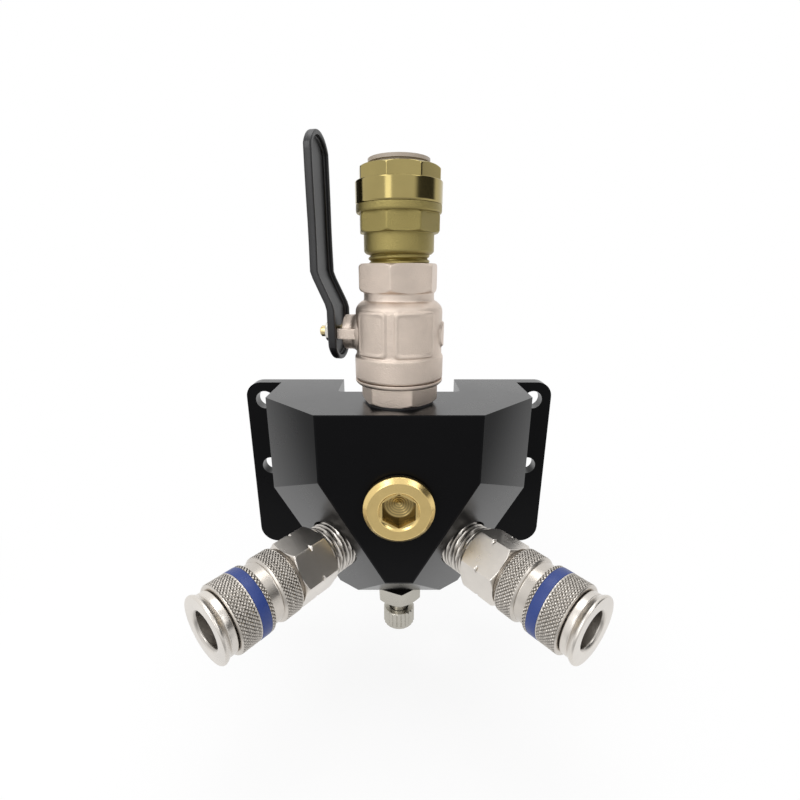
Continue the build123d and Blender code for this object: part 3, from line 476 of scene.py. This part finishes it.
def soft_least(a, b, blend):
    """The smaller of two radii, with a smooth passage of about `blend` where they are equal."""
    gap = np.clip(0.5 + 0.5 * (b - a) / blend, 0, 1)
    return b * (1 - gap) + a * gap - blend * gap * (1 - gap)


def flats(count, across, degrees=0.0, blend=0.12):
    """A regular polygon's radius at an angle is across / 2 / cos(angle from the nearest
    flat's middle). The returned shape cuts a turned surface back to that polygon."""
    def shape(angle, along, radius):
        step = 2 * np.pi / count
        off = (angle - radians(degrees) + step / 2) % step - step / 2
        return soft_least(radius, across / 2 / np.cos(off), blend)
    return shape


corner = flats(6, 25)(radians(30), 0, 99)
print("radius at the corner of a 25 mm hexagon:", round(float(corner), 2))

# %% [markdown]
# ## Threads and knurls
# A thread is a groove that climbs as it goes round: its depth depends on the distance along
# the axis less the pitch times the turns. A diamond knurl is two such grooves, one for each
# hand, and what is left between them are little pyramids. A bump map could fake both, but
# their outline would stay smooth, so they are cut into the surface itself.
# %% Shapes for threads and knurls
flank_rise = 1.5  # how soon a thread's groove reaches its full crest
pyramid_rise = 2.2  # the same for the knurl's little pyramids
knurl_teeth = 54
knurl_pitch = 1.3
knurl_depth = 0.42
knurl_least = 12.3  # smaller radii belong to bores and grooves
knurl_columns = 6 * knurl_teeth


def saw(value):
    """A triangle wave: 0 at whole numbers, 1 halfway between them."""
    return 1 - np.abs((value % 1) * 2 - 1)


def window(value, low, high, edge):
    """Rise from 0 to 1 just inside `low` and fall back to 0 just inside `high`."""
    return np.clip((value - low) / edge, 0, 1) * np.clip((high - value) / edge, 0, 1)


def thread(pitch, depth, low, high, hand=1):
    """Radius less depth * saw(along / pitch - hand * turns), between low and high, and an
    unshaded value that is 0 in the groove, where shade is painted, and 1 on the crest.
    """
    def shape(angle, along, radius):
        wave = saw(along / pitch - hand * angle / (2 * np.pi))
        top = np.clip(wave * flank_rise, 0, 1)
        inside = window(along, low, high, pitch / 3)
        return radius - depth * inside * (1 - top), 1 - inside * (1 - top)
    return shape


def knurl(low, high):
    """Radius less the knurl's depth where either of two helical grooves runs, on the part of
    the profile that is wider than knurl_least and lies between low and high. Shade is painted
    in the grooves through the unshaded value."""
    def shape(angle, along, radius):
        teeth = knurl_teeth * angle / (2 * np.pi)
        left, right = saw(teeth + along / knurl_pitch), saw(teeth - along / knurl_pitch)
        top = np.clip(np.minimum(left, right) * pyramid_rise, 0, 1)
        inside = window(along, low, high, 0.3) * (radius > knurl_least)
        return radius - knurl_depth * inside * (1 - top), 1 - inside * (1 - top)
    return shape


print("the saw wave at 0, a half and 1:", saw(np.array([0, 0.5, 1])))

# %% [markdown]
# ## The couplers' screwed bodies
# Each quick coupler is a stack of turned pieces. Its body is screwed into the block and has a
# hexagon with a small notch at each corner. Thread, hexagon and notches could be separate
# meshes, but they are one piece of bar, so one shape function cuts all of them: where two
# cuts meet, the deeper one counts. The bore behind them is left alone.
# %% Build the screwed bodies
half_inch_pitch = 1.81
coupler_flats = 22.4
hexagon_turn = {"left": 38, "right": 5}
hex_start, hex_end = 10.1, 25.8
hex_middle = (hex_start + hex_end) / 2
notch_radius, notch_slope = 12.15, 1.3
body_bore = 9.45


def screw_shape(hand):
    """Thread, hexagon and notches of the coupler on one hand, with shade painted in the thread's
    grooves.
    """
    hex_cut = flats(6, coupler_flats, hexagon_turn[hand])
    screw = thread(half_inch_pitch, 1.0, -12, hex_start, sides[hand])

    def shape(angle, along, radius):
        on_hex = (along > hex_start + 0.05) & (along < hex_end - 0.05)
        notch = notch_radius + np.abs(along - hex_middle) * notch_slope
        cut = np.where(on_hex, np.minimum(hex_cut(angle, along, radius), notch), radius)
        outside = radius > body_bore
        groove, unshaded = screw(angle, along, radius)
        return np.where(outside, np.minimum(cut, groove), radius), np.where(outside, unshaded, 1)
    return shape


outline = filled(rounded([
    (-9.5, 4.5, 0.1), (-9.5, 9.4, 0.3), (-8.6, 10.44, 0.3), (9.6, 10.44, 0.2),
    (10.1, 9.9, 0.05), (10.1, 11.3, 0.2), (11.1, 12.93, 0.4), (24.8, 12.93, 0.4),
    (25.8, 11.3, 0.2), (25.8, 9.4, 0.1), (35, 9.4, 0.1), (35, 7.65, 0.1), (24, 7.65, 0.1),
    (24, 6.6, 0.1), (17.5, 6.6, 0.1), (17.5, 4.5, 0.1),
]), 0.32)
for hand, line in couplers.items():
    make(f"{hand}_coupler_screw", "block", "nickel_brass",
         [turned(line, outline, 216, screw_shape(hand))], [f"{hand}_coupler_body"])

# %% [markdown]
# ## The couplers' rear rings
# A knurled ring with a smooth waist stands still behind the sleeve, for a hand to hold on to.
# Ring and waist are one turned piece, and only its wide part gets the knurl.
# %% Build the rear rings
outline = filled(rounded([
    (27, 9.45, 0.1), (27, 11.8, 0.3), (27.8, 12.6, 0.3), (34.2, 12.6, 0.3),
    (35, 11.8, 0.3), (35.1, 11.4, 0.2), (40.9, 11.4, 0.2), (40.9, 10.5, 0.1),
    (36.2, 10.5, 0.1), (36.2, 9.45, 0.1),
]), 0.24)
for hand, line in couplers.items():
    make(f"{hand}_grip_ring", "block", "knurled_nickel",
         [turned(line, outline, knurl_columns, knurl(27.7, 34.3))], [f"{hand}_rear_ring"])

# %% [markdown]
# ## The sliding sleeves
# The sleeve is pulled back over the waist to free the plug. It is knurled on both sides of a
# groove, so the two bands are two knurls, of which the deeper cut counts at each point. It
# rides on a body of its own: a joint moves it, and its inside has to clear the waist.
# %% Build the sleeves
front_band, rear_band = knurl(44.6, 51.4), knurl(39.0, 40.6)


def sleeve_shape(angle, along, radius):
    """The deeper of both bands' cuts, and the lower of their unshaded values, where shade is
    painted in the knurl's grooves.
    """
    front, front_unshaded = front_band(angle, along, radius)
    rear, rear_unshaded = rear_band(angle, along, radius)
    return np.minimum(front, rear), np.minimum(front_unshaded, rear_unshaded)


outline = filled(rounded([
    (38.9, 11.5, 0.1), (38.9, 12.2, 0.3), (39.4, 12.7, 0.3), (40.6, 12.7, 0.1),
    (40.6, 12.1, 0.1), (44.4, 12.1, 0.1), (44.4, 12.7, 0.1), (51.3, 12.7, 0.3),
    (51.8, 12.2, 0.3), (51.8, 10.1, 0.1), (49.1, 10.1, 0.1), (49.1, 9.05, 0.1),
    (44.7, 9.05, 0.1), (44.7, 11.5, 0.1),
]), 0.24)
for hand, line in couplers.items():
    make(f"{hand}_sliding_sleeve", f"{hand}_sleeve", "knurled_nickel",
         [turned(line, outline, knurl_columns, sleeve_shape)], [f"{hand}_sleeve"])

# %% [markdown]
# ## The blue bands
# A plastic band lies in the sleeve's groove. It could be a blue stripe painted on the metal,
# but the real one stands a little proud of the knurl, so it is a ring that rides with the
# sleeve.
# %% Build the blue bands
outline = rounded([(40.65, 12.15), (40.65, 12.75), (44.35, 12.75), (44.35, 12.15)], 0.2, 5)
for hand, line in couplers.items():
    make(f"{hand}_blue_band", f"{hand}_sleeve", "blue_plastic",
         [turned(line, outline)], [f"{hand}_colour_band"])

# %% [markdown]
# ## The couplers' mouths
# The nose takes the plug. Its flared rim is the brightest part of the coupler and its bore
# the darkest. The bore would be darkened by shadow alone in a closed room, but the white
# studio shines into it, so shade is painted into the bore a little below the mouth's radius.
# %% Build the mouths
mouth_radius = 6.8


def mouth_shape(angle, along, radius):
    """The radius as it is, and painted shade: an unshaded value that falls to 0.6 inside the
    mouth.
    """
    return radius, np.clip((radius - mouth_radius) / 0.4, 0.6, 1)


outline = rounded([
    (24, 6.0, 0.1), (24, 7.6, 0.1), (35, 7.6, 0.1), (35, 9, 0.1), (52.1, 9, 0.1),
    (52.1, 11.0, 0.2), (52.3, 11.3, 0.2), (54.3, 11.3, 0.1), (54.45, 11.15, 0.1),
    (54.7, 11.25, 0.1), (56.3, 12.3, 0.3), (56.9, 12.3, 0.3), (57.3, 12.0, 0.2),
    (57.3, 7.7, 0.4), (56.5, 6.7, 0.4), (50.2, 6.7, 0.1), (50.2, 6.4, 0.1),
    (41.1, 6.4, 0.1), (41.1, 7.35, 0.1), (38.7, 7.35, 0.1), (38.7, 6.0, 0.1),
], steps=5)
for hand, line in couplers.items():
    make(f"{hand}_mouth", "block", "nickel_brass", [turned(line, outline, 192, mouth_shape)],
         [f"{hand}_nose"])

# %% [markdown]
# ## The ball valve's housing
# The valve's housing is a forging that was blasted before plating, so every edge on it is
# soft. Sculpting could do that, but the sizes have to hold. So its hexagon, shoulder and
# barrel are one turned surface, and the framed panels and a small disc are pushed out of it
# by the shape function, from the distance to a rectangle with rounded corners.
# %% Define the housing's shape
barrel_radius = 15.4
panel_low, panel_high, panel_corner, panel_rise = 18.7, 33.8, 1.4, 0.5
panel_spans = ((-14.0, -1.5), (1.5, 16.0))  # round the barrel, from the middle of each face
dip_inset, dip_share = 1.1, 0.45  # the sunk field within a panel's frame
disc_radius, disc_rise = 4.3, 0.7
valve_flats, forged_blend = 25, 0.25
valve_hex_start = 39.3
valve_hex = flats(6, valve_flats, 0, forged_blend)


def panel(angle, along, first, last, edge, inset=0.0):
    """1 inside a rounded rectangle on the barrel, 0 outside, with a ramp of width edge. The
    distance to the rectangle is that of a box with its corners rounded off."""
    width, height = (last - first) / 2 - inset, (panel_high - panel_low) / 2 - inset
    turn = (angle - (first + last) / 2 / barrel_radius + np.pi) % (2 * np.pi) - np.pi
    across = np.maximum(np.abs(turn * barrel_radius) - width + panel_corner, 0)
    up = np.maximum(np.abs(along - (panel_low + panel_high) / 2) - height + panel_corner, 0)
    return np.clip((panel_corner - np.hypot(across, up)) / edge + 0.5, 0, 1)


def housing_shape(angle, along, radius):
    """The hexagon's cut at the top, and the panels and the disc raised from the barrel."""
    shaped = np.where(along > valve_hex_start, valve_hex(angle, along, radius), radius)
    raised = 0
    for middle in (-np.pi / 2, np.pi / 2):
        for span in panel_spans:
            raised = (raised + panel(angle - middle, along, *span, 0.5)
                      - dip_share * panel(angle - middle, along, *span, 0.4, dip_inset))
    turn = (angle + np.pi) % (2 * np.pi) - np.pi
    from_disc = np.hypot(turn * barrel_radius, along - stem_height)
    disc = np.clip((disc_radius - from_disc) / 0.5 + 0.5, 0, 1) * (np.cos(angle) > 0)
    raised = raised * panel_rise + disc_rise * disc
    return np.where(radius > 15, shaped + raised, shaped)


print("panels on the housing:", 2 * len(panel_spans))

# %% [markdown]
# ## The boss and the stop lug
# The stem comes out of a round boss, and a square lug in front of it stops the lever. Both
# are grids of their own in the housing's mesh, about the stem's axis and beside it: they run
# into the barrel, as on a forging, and need no Boolean because the metal hides their ends.
# %% Build the valve housing
lug_half_width, lug_half_depth, lug_middle = 1.8, 1.25, 6.25


def lug_shape(angle, along, radius):
    """A rectangle's radius: the smaller of half its width over |cos| and half its depth
    over |sin|, taken as a share of the profile's radius."""
    wide = lug_half_width / np.maximum(np.abs(np.cos(angle)), 1e-6)
    deep = lug_half_depth / np.maximum(np.abs(np.sin(angle)), 1e-6)
    return radius * soft_least(wide, deep, forged_blend)


outline = filled(rounded([
    (9.45, 13.55, 0.1), (9.45, 15.4, 0.3), (9.9, 16.0, 0.6), (17.6, 16.0, 0.5),
    (18.3, 15.4, 0.6), (34.6, 15.4, 1.5), (36.7, 13.2, 1.2), (36.9, 12.3, 1.0),
    (39.6, 12.3, 0.6), (39.9, 13.4, 0.4), (40.9, 14.43, 0.6), (48.2, 14.43, 0.5),
    (49.1, 13.2, 0.4), (49.1, 10.6, 0.3), (37.5, 10.55, 0.2), (37.5, 7.5, 0.2), (36, 7.5, 0.1),
    (36, 12, 0.1), (15, 12, 0.1), (15, 13.55, 0.1),
]), 0.4)
boss_outline = rounded([
    (12.6, 3.1, 0.1), (12.6, 8.6, 0.1), (14.9, 7.4, 1.2), (16.2, 6.2, 1.0), (19.8, 6.2, 0.4),
    (19.8, 4.5, 0.2), (15.3, 4.5, 0.1), (15.3, 3.1, 0.1),
])
lug_outline = np.array([(14, 0), (14, 1), (20.9, 1), (21.1, 0.95), (21.2, 0.85), (21.2, 0)])
lug_line = (stem[0] - lug_middle * stem[2], *stem[1:])
make("valve_housing", "block", "blasted_nickel",
     [turned(valve, outline, 288, housing_shape), turned(stem, boss_outline, 96),
      turned(lug_line, lug_outline, 96, lug_shape)], ["valve_body"])

# %% [markdown]
# ## The valve's end piece
# The lower end is a second forging, screwed into the housing: a thin round collar meets the
# barrel, and a hexagon below it meets the block. It is turned like the housing, but its
# hexagon stands at another angle, because a thread stops where it is tight.
# %% Build the end piece
end_turn = 18
end_hex = flats(6, valve_flats, end_turn, forged_blend)


def end_shape(angle, along, radius):
    """The hexagon's cut between the washer and the collar."""
    return np.where((along < 7.6) & (along > 0.7), end_hex(angle, along, radius), radius)


outline = filled(rounded([
    (-12, 7.5, 0.1), (-12, 9.5, 0.3), (-11, 10.45, 0.3), (0.8, 10.45, 0.05), (0.8, 13, 0.3),
    (1.7, 14.43, 0.5), (6.9, 14.43, 0.4), (7.5, 14.2, 0.3), (7.6, 15.2, 0.3),
    (8.4, 16.0, 0.5), (9.3, 16.0, 0.2), (9.3, 13.5, 0.1), (15, 13.5, 0.1), (15, 7.5, 0.1),
]), 0.35)
make("valve_end_piece", "block", "blasted_nickel", [turned(inlet, outline, 192, end_shape)],
     ["valve_end_adapter"])

# %% [markdown]
# ## The lever
# The lever is a steel pressing, dipped in black vinyl. It could be a bent box with bevels,
# but it is really a long dish: one outline, a hub circle and a tip circle joined by straight
# sides, which is carried inwards over the web and round the rim. So it is a grid of turn
# angle by profile, folded once above the hub. The dip rounds every edge.
# %% Build the lever
hub, tip, length = 10.0, 9.6, 64.99
rim_depth, web_thickness, rim_width = 2.9, 1.3, 1.6
fold_rise, fold_start, fold_run = 5.4, 9.0, 11.5
web_distance = 24.0
waist_share = 0.14

# The profile of the dish: (inset from the outline, distance from the web's outer face). Both
# faces of the web end on the lever's centre line, so the points between them are left out.
dish = filled(rounded([
    (hub, 0, 0), (0, 0, 0.9), (0, rim_depth, 0.6), (rim_width, rim_depth, 0.6),
    (rim_width, web_thickness, 0.6), (hub, web_thickness, 0),
], steps=7), 0.8)
between = (dish[:, 0] > hub - 0.01) & (dish[:, 1] > 0.01) & (dish[:, 1] < web_thickness - 0.01)
dish = dish[~between]
inset, depth = dish[:, 0:1], dish[:, 1:2]
turn = np.linspace(0, 2 * np.pi, 200, endpoint=False)[None]
towards_tip = np.clip(np.cos(turn) * 2.2, -1, 1) * 0.5 + 0.5
middle = (length - tip) * towards_tip
radius = np.maximum(hub + (tip - hub) * towards_tip - inset, 0)
waist = 1 - waist_share * window(middle, 4, 60, 25)
reach = middle + radius * np.cos(turn)
across = radius * np.sin(turn) * waist
fold = fold_rise * np.clip((reach - fold_start) / fold_run, 0, 1)
origin, x, y, z = stem
points = (origin + reach[..., None] * x + across[..., None] * y
          + (web_distance - depth + fold)[..., None] * z)
make("dipped_lever", "lever", "black_vinyl", [(points, reach, np.ones_like(reach))],
     ["valve_lever"], sharp=60, seam=False)

# %% [markdown]
# ## The lever's nut
# A small zinc plated nut holds the lever on the stem, whose rounded brass end shows in front
# of it. The stem's end is left as the CAD part has it; the nut gets rounded corners.
# %% Build the lever's nut
outline = filled(rounded([
    (24, 2.05, 0.1), (24, 3.6, 0.3), (24.5, 4.04, 0.3), (26.5, 4.04, 0.4), (27, 3.4, 0.3),
    (27, 2.05, 0.1),
]), 0.2)
make("lever_lock_nut", "lever", "zinc_steel", [turned(stem, outline, 144, flats(6, 7, 30, 0.1))],
     ["lever_nut"])

# %% [markdown]
# ## The push-fit inlet
# The body of the inlet is cast brass, with eight flats under a round band. It is screwed into
# the valve, and a little of its thread shows. A cylinder with eight faces would do for the
# flats, but band, flats and thread are one piece, so the shape function tells them apart by
# their height.
# %% Build the inlet's body
octagon_turn = 6.5
flats_low, flats_high = 58.5, 64.7
thread_end = 52.1
inlet_thread = thread(half_inch_pitch, 0.9, 44, thread_end)


def eight_flats(corner_radius, blend):
    """An octagon with its corners on a circle: its flats are 2 r cos(pi / 8) apart."""
    return flats(8, 2 * corner_radius * np.cos(np.pi / 8), octagon_turn, blend)


body_eight = eight_flats(14.0, 0.15)


def fitting_shape(angle, along, radius):
    """The thread below, with shade painted in its grooves, the eight flats above it, and the bore
    as it is.
    """
    groove, unshaded = inlet_thread(angle, along, radius)
    outside = (radius > 9.9) & (along < thread_end)
    on_flats = (along > flats_low) & (along < flats_high)
    cut = np.where(on_flats, body_eight(angle, along, radius), radius)
    return np.where(outside, groove, cut), np.where(outside, unshaded, 1)


outline = filled(rounded([
    (38.7, 6.8, 0.1), (38.7, 9.6, 0.3), (39.7, 10.45, 0.3), (51.9, 10.45, 0.1),
    (52.0, 11.0, 0.2), (52.8, 11.9, 0.4), (58.6, 11.9, 0.2), (58.6, 13.2, 0.2),
    (59.2, 14.0, 0.4), (64.0, 14.0, 0.3), (64.6, 13.5, 0.2), (64.6, 14.0, 0.3),
    (65.1, 14.3, 0.3), (67.15, 14.3, 0.1), (67.15, 12.4, 0.1), (70, 12.4, 0.1),
    (70, 10.4, 0.1), (63.5, 10.4, 0.1), (63.5, 7.65, 0.1), (56.5, 7.65, 0.1),
    (56.5, 6.8, 0.1),
]), 0.3)
make("inlet_fitting", "block", "cast_brass", [turned(inlet, outline, 224, fitting_shape)],
     ["pushfit_body"])

# %% [markdown]
# ## The inlet's cap
# The cap is screwed over the body and holds the collet in. Its lower part is a polished
# round band and its upper part has eight flats again, in line with the body's.
# %% Build the inlet's cap
cap_flats_low = 74.15
cap_eight = eight_flats(13.9, 0.1)


def cap_shape(angle, along, radius):
    """The eight flats' cut above the band, outside the bore."""
    cut = cap_eight(angle, along, radius)
    return np.where((along > cap_flats_low) & (radius > 11), cut, radius)


outline = filled(rounded([
    (67.2, 12.45, 0.1), (67.2, 14.2, 0.2), (67.6, 14.4, 0.2), (73.9, 14.4, 0.2),
    (74.1, 14.2, 0.2), (74.1, 13.9, 0.1), (77.6, 13.9, 0.5), (78.4, 12.8, 0.4),
    (78.4, 9.4, 0.3), (77.9, 9.15, 0.1), (76, 9.15, 0.1), (74.2, 11.3, 0.1),
    (70.2, 11.3, 0.1), (70.2, 12.45, 0.1),
]), 0.3)
make("inlet_cap", "block", "polished_brass", [turned(inlet, outline, 256, cap_shape)],
     ["pushfit_cap"])

# %% [markdown]
# ## The brass plug
# The plug closes the front port. Its collar is turned and chamfered, and its socket is a
# hexagon pressed into a drilled hole, so a cone with fine drill rings is left at the bottom.
# A Boolean could sink the hexagon, but the profile runs down into the hole anyway, so the
# hexagon is again a cut radius, and a wave on the cone makes the rings.
# %% Build the front plug
socket_flats, socket_turn = 12, 60
socket_radius, cone_radius = 6.94, 5.5
drill_pitch, drill_depth = 0.9, 0.3
socket_cut = flats(6, socket_flats, socket_turn, 0.05)


def plug_shape(angle, along, radius):
    """The socket's hexagon, the drill rings on the cone, and painted shade that deepens towards
    the bottom of the socket and is lighter on the drill rings' crests."""
    inside = (radius < socket_radius) & (along > -1.81) & (along < 3.51) & (radius > cone_radius)
    on_cone = (along > -3.5) & (along < -1.79) & (radius < cone_radius)
    wave = saw(radius / drill_pitch)
    rings = drill_depth * (wave - 0.5) * np.clip(radius / drill_pitch, 0, 1) * on_cone
    # Painted shade deepens towards the bottom of the socket; the drill rings' crests get less of
    # it.
    deep = np.clip((3.9 - along) / 2.5, 0, 1) * (radius < 7.95)
    cut = np.where(inside, socket_cut(angle, along, radius), radius)
    return cut + rings, 1 - deep * (1 - 0.35 * wave * on_cone)


outline = filled(np.array([
    (-11, 0.0), (-11, 9.6), (-10, 10.44), (0.7, 10.44), (0.8, 13.0), (1.0, 13.1), (2.5, 13.1),
    (2.75, 12.95), (4.05, 11.6), (4.2, 11.4), (4.2, 7.9), (4.1, 7.6), (3.5, 6.93),
    (-1.8, 6.9), (-1.8, 5.5), (-3.4, 0.0),
]), 0.25)
make("brass_plug", "block", "turned_brass", [turned(plug, outline, 240, plug_shape)],
     ["front_plug"])

# %% [markdown]
# ## The drain cock
# A small nickel plated cock lets out the water: a hexagon, a cone with an outlet hole in its
# side, and a ribbed knob that is turned by hand. The knob keeps its CAD form. The hole is
# shallow, so it is pushed into the cone by the shape function and darkened with painted
# shade, which costs no Boolean.
# %% Build the drain cock
drain_flats, drain_turn, drain_hex_top = 17.8, 54, 7.15
hole_turn, hole_height, hole_radius, hole_depth = 1.5 * np.pi, 8.3, 1.5, 1.3
drain_hex = flats(6, drain_flats, drain_turn, 0.12)


def cock_shape(angle, along, radius):
    """The hexagon's cut, and a round dent in the cone, into which shade is painted in full."""
    on_hex = (along > -0.01) & (along < drain_hex_top)
    cut = np.where(on_hex, drain_hex(angle, along, radius), radius)
    from_hole = np.hypot((angle - hole_turn) * 5.5, (along - hole_height) * 1.3)
    hole = np.clip((hole_radius - from_hole) / 0.35, 0, 1) * (along > 7.2) * (radius > 4.1)
    # The dent takes painted shade in full: its unshaded value is 0.
    return cut - hole_depth * hole, 1 - hole


outline = filled(rounded([
    (-8.5, 1.6, 0.1), (-8.5, 4.1, 0.2), (-7.8, 4.82, 0.2), (-0.02, 4.82, 0.01),
    (0.02, 9.8, 0.2), (0.4, 10.25, 0.3), (5.8, 10.25, 0.4), (7.1, 8.4, 0.3), (7.1, 7.2, 0.1),
    (9.6, 4.4, 0.3), (16, 4.0, 0.2), (16, 2.6, 0.1), (7, 2.6, 0.1), (7, 1.6, 0.1),
]), 0.25)
make("drain_cock", "block", "bright_nickel", [turned(drain, outline, 160, cock_shape)],
     ["drain_body"])

# %% [markdown]
# ## The floor
# The picture is a studio shot on white, with a faint shadow below. A plain white sheet would
# turn grey where the light falls off. So the floor mixes pale paper, which takes the shadow,
# with a white glow for the rays that see the background: those from the camera, off metal
# and through glass. The glow is weaker near the object, where the shadow is.
# %% Lay the floor
floor_height = -0.105
floor_front, floor_rear, floor_side = -0.15, 3.0, 3.0
shadow_near, shadow_far, near_glow = 0.12, 0.3, 0.8


def background_rays(tree):
    """1 for the rays that see the white background: from the camera, off metal, through glass."""
    path = node(tree, "LightPath")
    total = path.outputs["Is Camera Ray"]
    for title in ("Is Glossy Ray", "Is Transmission Ray"):
        total = combine(tree, "MAXIMUM", total, path.outputs[title])
    return total


floor_look = bpy.data.materials.new("pale floor")
floor_look.use_nodes = True
paper = floor_look.node_tree
paper.nodes.clear()
paper_out = node(paper, "OutputMaterial")
paper_paint = node(paper, "BsdfDiffuse", Color=(0.85, 0.85, 0.85, 1))
paper_white = node(paper, "Emission", Strength=1.0)
paper_mix = node(paper, "MixShader")
paper_place = node(paper, "TexCoord")
paper_far = node(paper, "VectorMath", operation="LENGTH")
paper.links.new(paper_place.outputs["Object"], paper_far.inputs[0])
glow = ramp(paper, paper_far.outputs["Value"], shadow_near, shadow_far, near_glow, 1.0)
paper.links.new(combine(paper, "MULTIPLY", background_rays(paper), glow),
                paper_mix.inputs["Fac"])
paper.links.new(paper_paint.outputs[0], paper_mix.inputs[1])
paper.links.new(paper_white.outputs[0], paper_mix.inputs[2])
paper.links.new(paper_mix.outputs[0], paper_out.inputs["Surface"])

floor_mesh = bpy.data.meshes.new("floor")
floor_mesh.from_pydata(
    [(-floor_side, floor_front, floor_height), (floor_side, floor_front, floor_height),
     (floor_side, floor_rear, floor_height), (-floor_side, floor_rear, floor_height)],
    [], [(0, 1, 2, 3)],
)
floor = bpy.data.objects.new("floor", floor_mesh)
bpy.context.scene.collection.objects.link(floor)
floor_mesh.materials.append(floor_look)
print("floor height in metres:", floor_height)

# %% [markdown]
# ## The studio around it
# Metal shows what surrounds it. A photographed studio could be wrapped round the scene as an
# image, but a few smooth ramps over the direction do it too: white behind the object, a
# little dimmer elsewhere and towards the ground, and one dark flag on the right in front,
# which gives the metal its dark streaks. The camera itself sees plain white everywhere.
# %% Build the world
darkest = 0.05
world = bpy.data.worlds.new("studio")
bpy.context.scene.world = world
world.use_nodes = True
sky = world.node_tree
sky.nodes.clear()
sky_out = node(sky, "OutputWorld")
sky_place = node(sky, "TexCoord")
way = node(sky, "SeparateXYZ")
sky.links.new(sky_place.outputs["Generated"], way.inputs[0])
backdrop = ramp(sky, way.outputs["Y"], -0.15, 0.3, 0.0, 1.0)
room = ramp(sky, way.outputs["Z"], -0.4, 0.0, 0.55, 0.95)
flag_side = combine(sky, "MULTIPLY", ramp(sky, way.outputs["X"], 0.6, 0.8, 0.0, 0.95),
                    ramp(sky, way.outputs["Y"], 0.1, 0.4, 1.0, 0.0))
flag = combine(sky, "MULTIPLY", flag_side, ramp(sky, way.outputs["Z"], 0.0, 0.1, 0.0, 1.0))
lit = combine(sky, "SUBTRACT", combine(sky, "MAXIMUM", room, backdrop), flag)
studio = combine(sky, "MAXIMUM", lit, darkest)
camera_path = node(sky, "LightPath")
strength = combine(sky, "MAXIMUM", studio, camera_path.outputs["Is Camera Ray"])
sky_light = node(sky, "Background", Color=(1, 1, 1, 1))
sky.links.new(strength, sky_light.inputs["Strength"])
sky.links.new(sky_light.outputs[0], sky_out.inputs["Surface"])
print("nodes in the world:", len(sky.nodes))

# %% [markdown]
# ## The lamps
# Soft lamps shape the object: a large one on each side, one above and behind, and a narrow
# strip at the front left that draws the bright line down the valve and the collars. Small
# lamps would give hard spots on metal, so all four have a size. They are weak, because the
# world already lights the colours to about the level at which they are written.
# %% Hang the lamps


def lamp(name, place, target, size, watts):
    """A soft rectangular lamp at a place, facing a target, in metres."""
    data = bpy.data.lights.new(name, "AREA")
    data.shape = "RECTANGLE"
    data.size, data.size_y = size
    data.energy = watts
    light = bpy.data.objects.new(name, data)
    light.location = place
    towards = Vector(np.subtract(target, place))
    light.rotation_euler = towards.to_track_quat("-Z", "Y").to_euler()
    bpy.context.scene.collection.objects.link(light)


middle_of_part = (0, -0.03, 0)
lamp("left softbox", (-0.4, -0.5, 0.5), middle_of_part, (0.2, 0.4), 1.1)
lamp("strip", (-0.27, -0.56, 0.16), (0, -0.03, 0.08), (0.16, 0.3), 0.24)
lamp("right softbox", (0.5, -0.45, 0.5), middle_of_part, (0.2, 0.4), 0.7)
lamp("top softbox", (0, 0.1, 0.8), middle_of_part, (0.5, 0.4), 1.5)
bpy.context.scene.view_settings.view_transform = "Standard"
print("lamps:", len(bpy.data.lights))
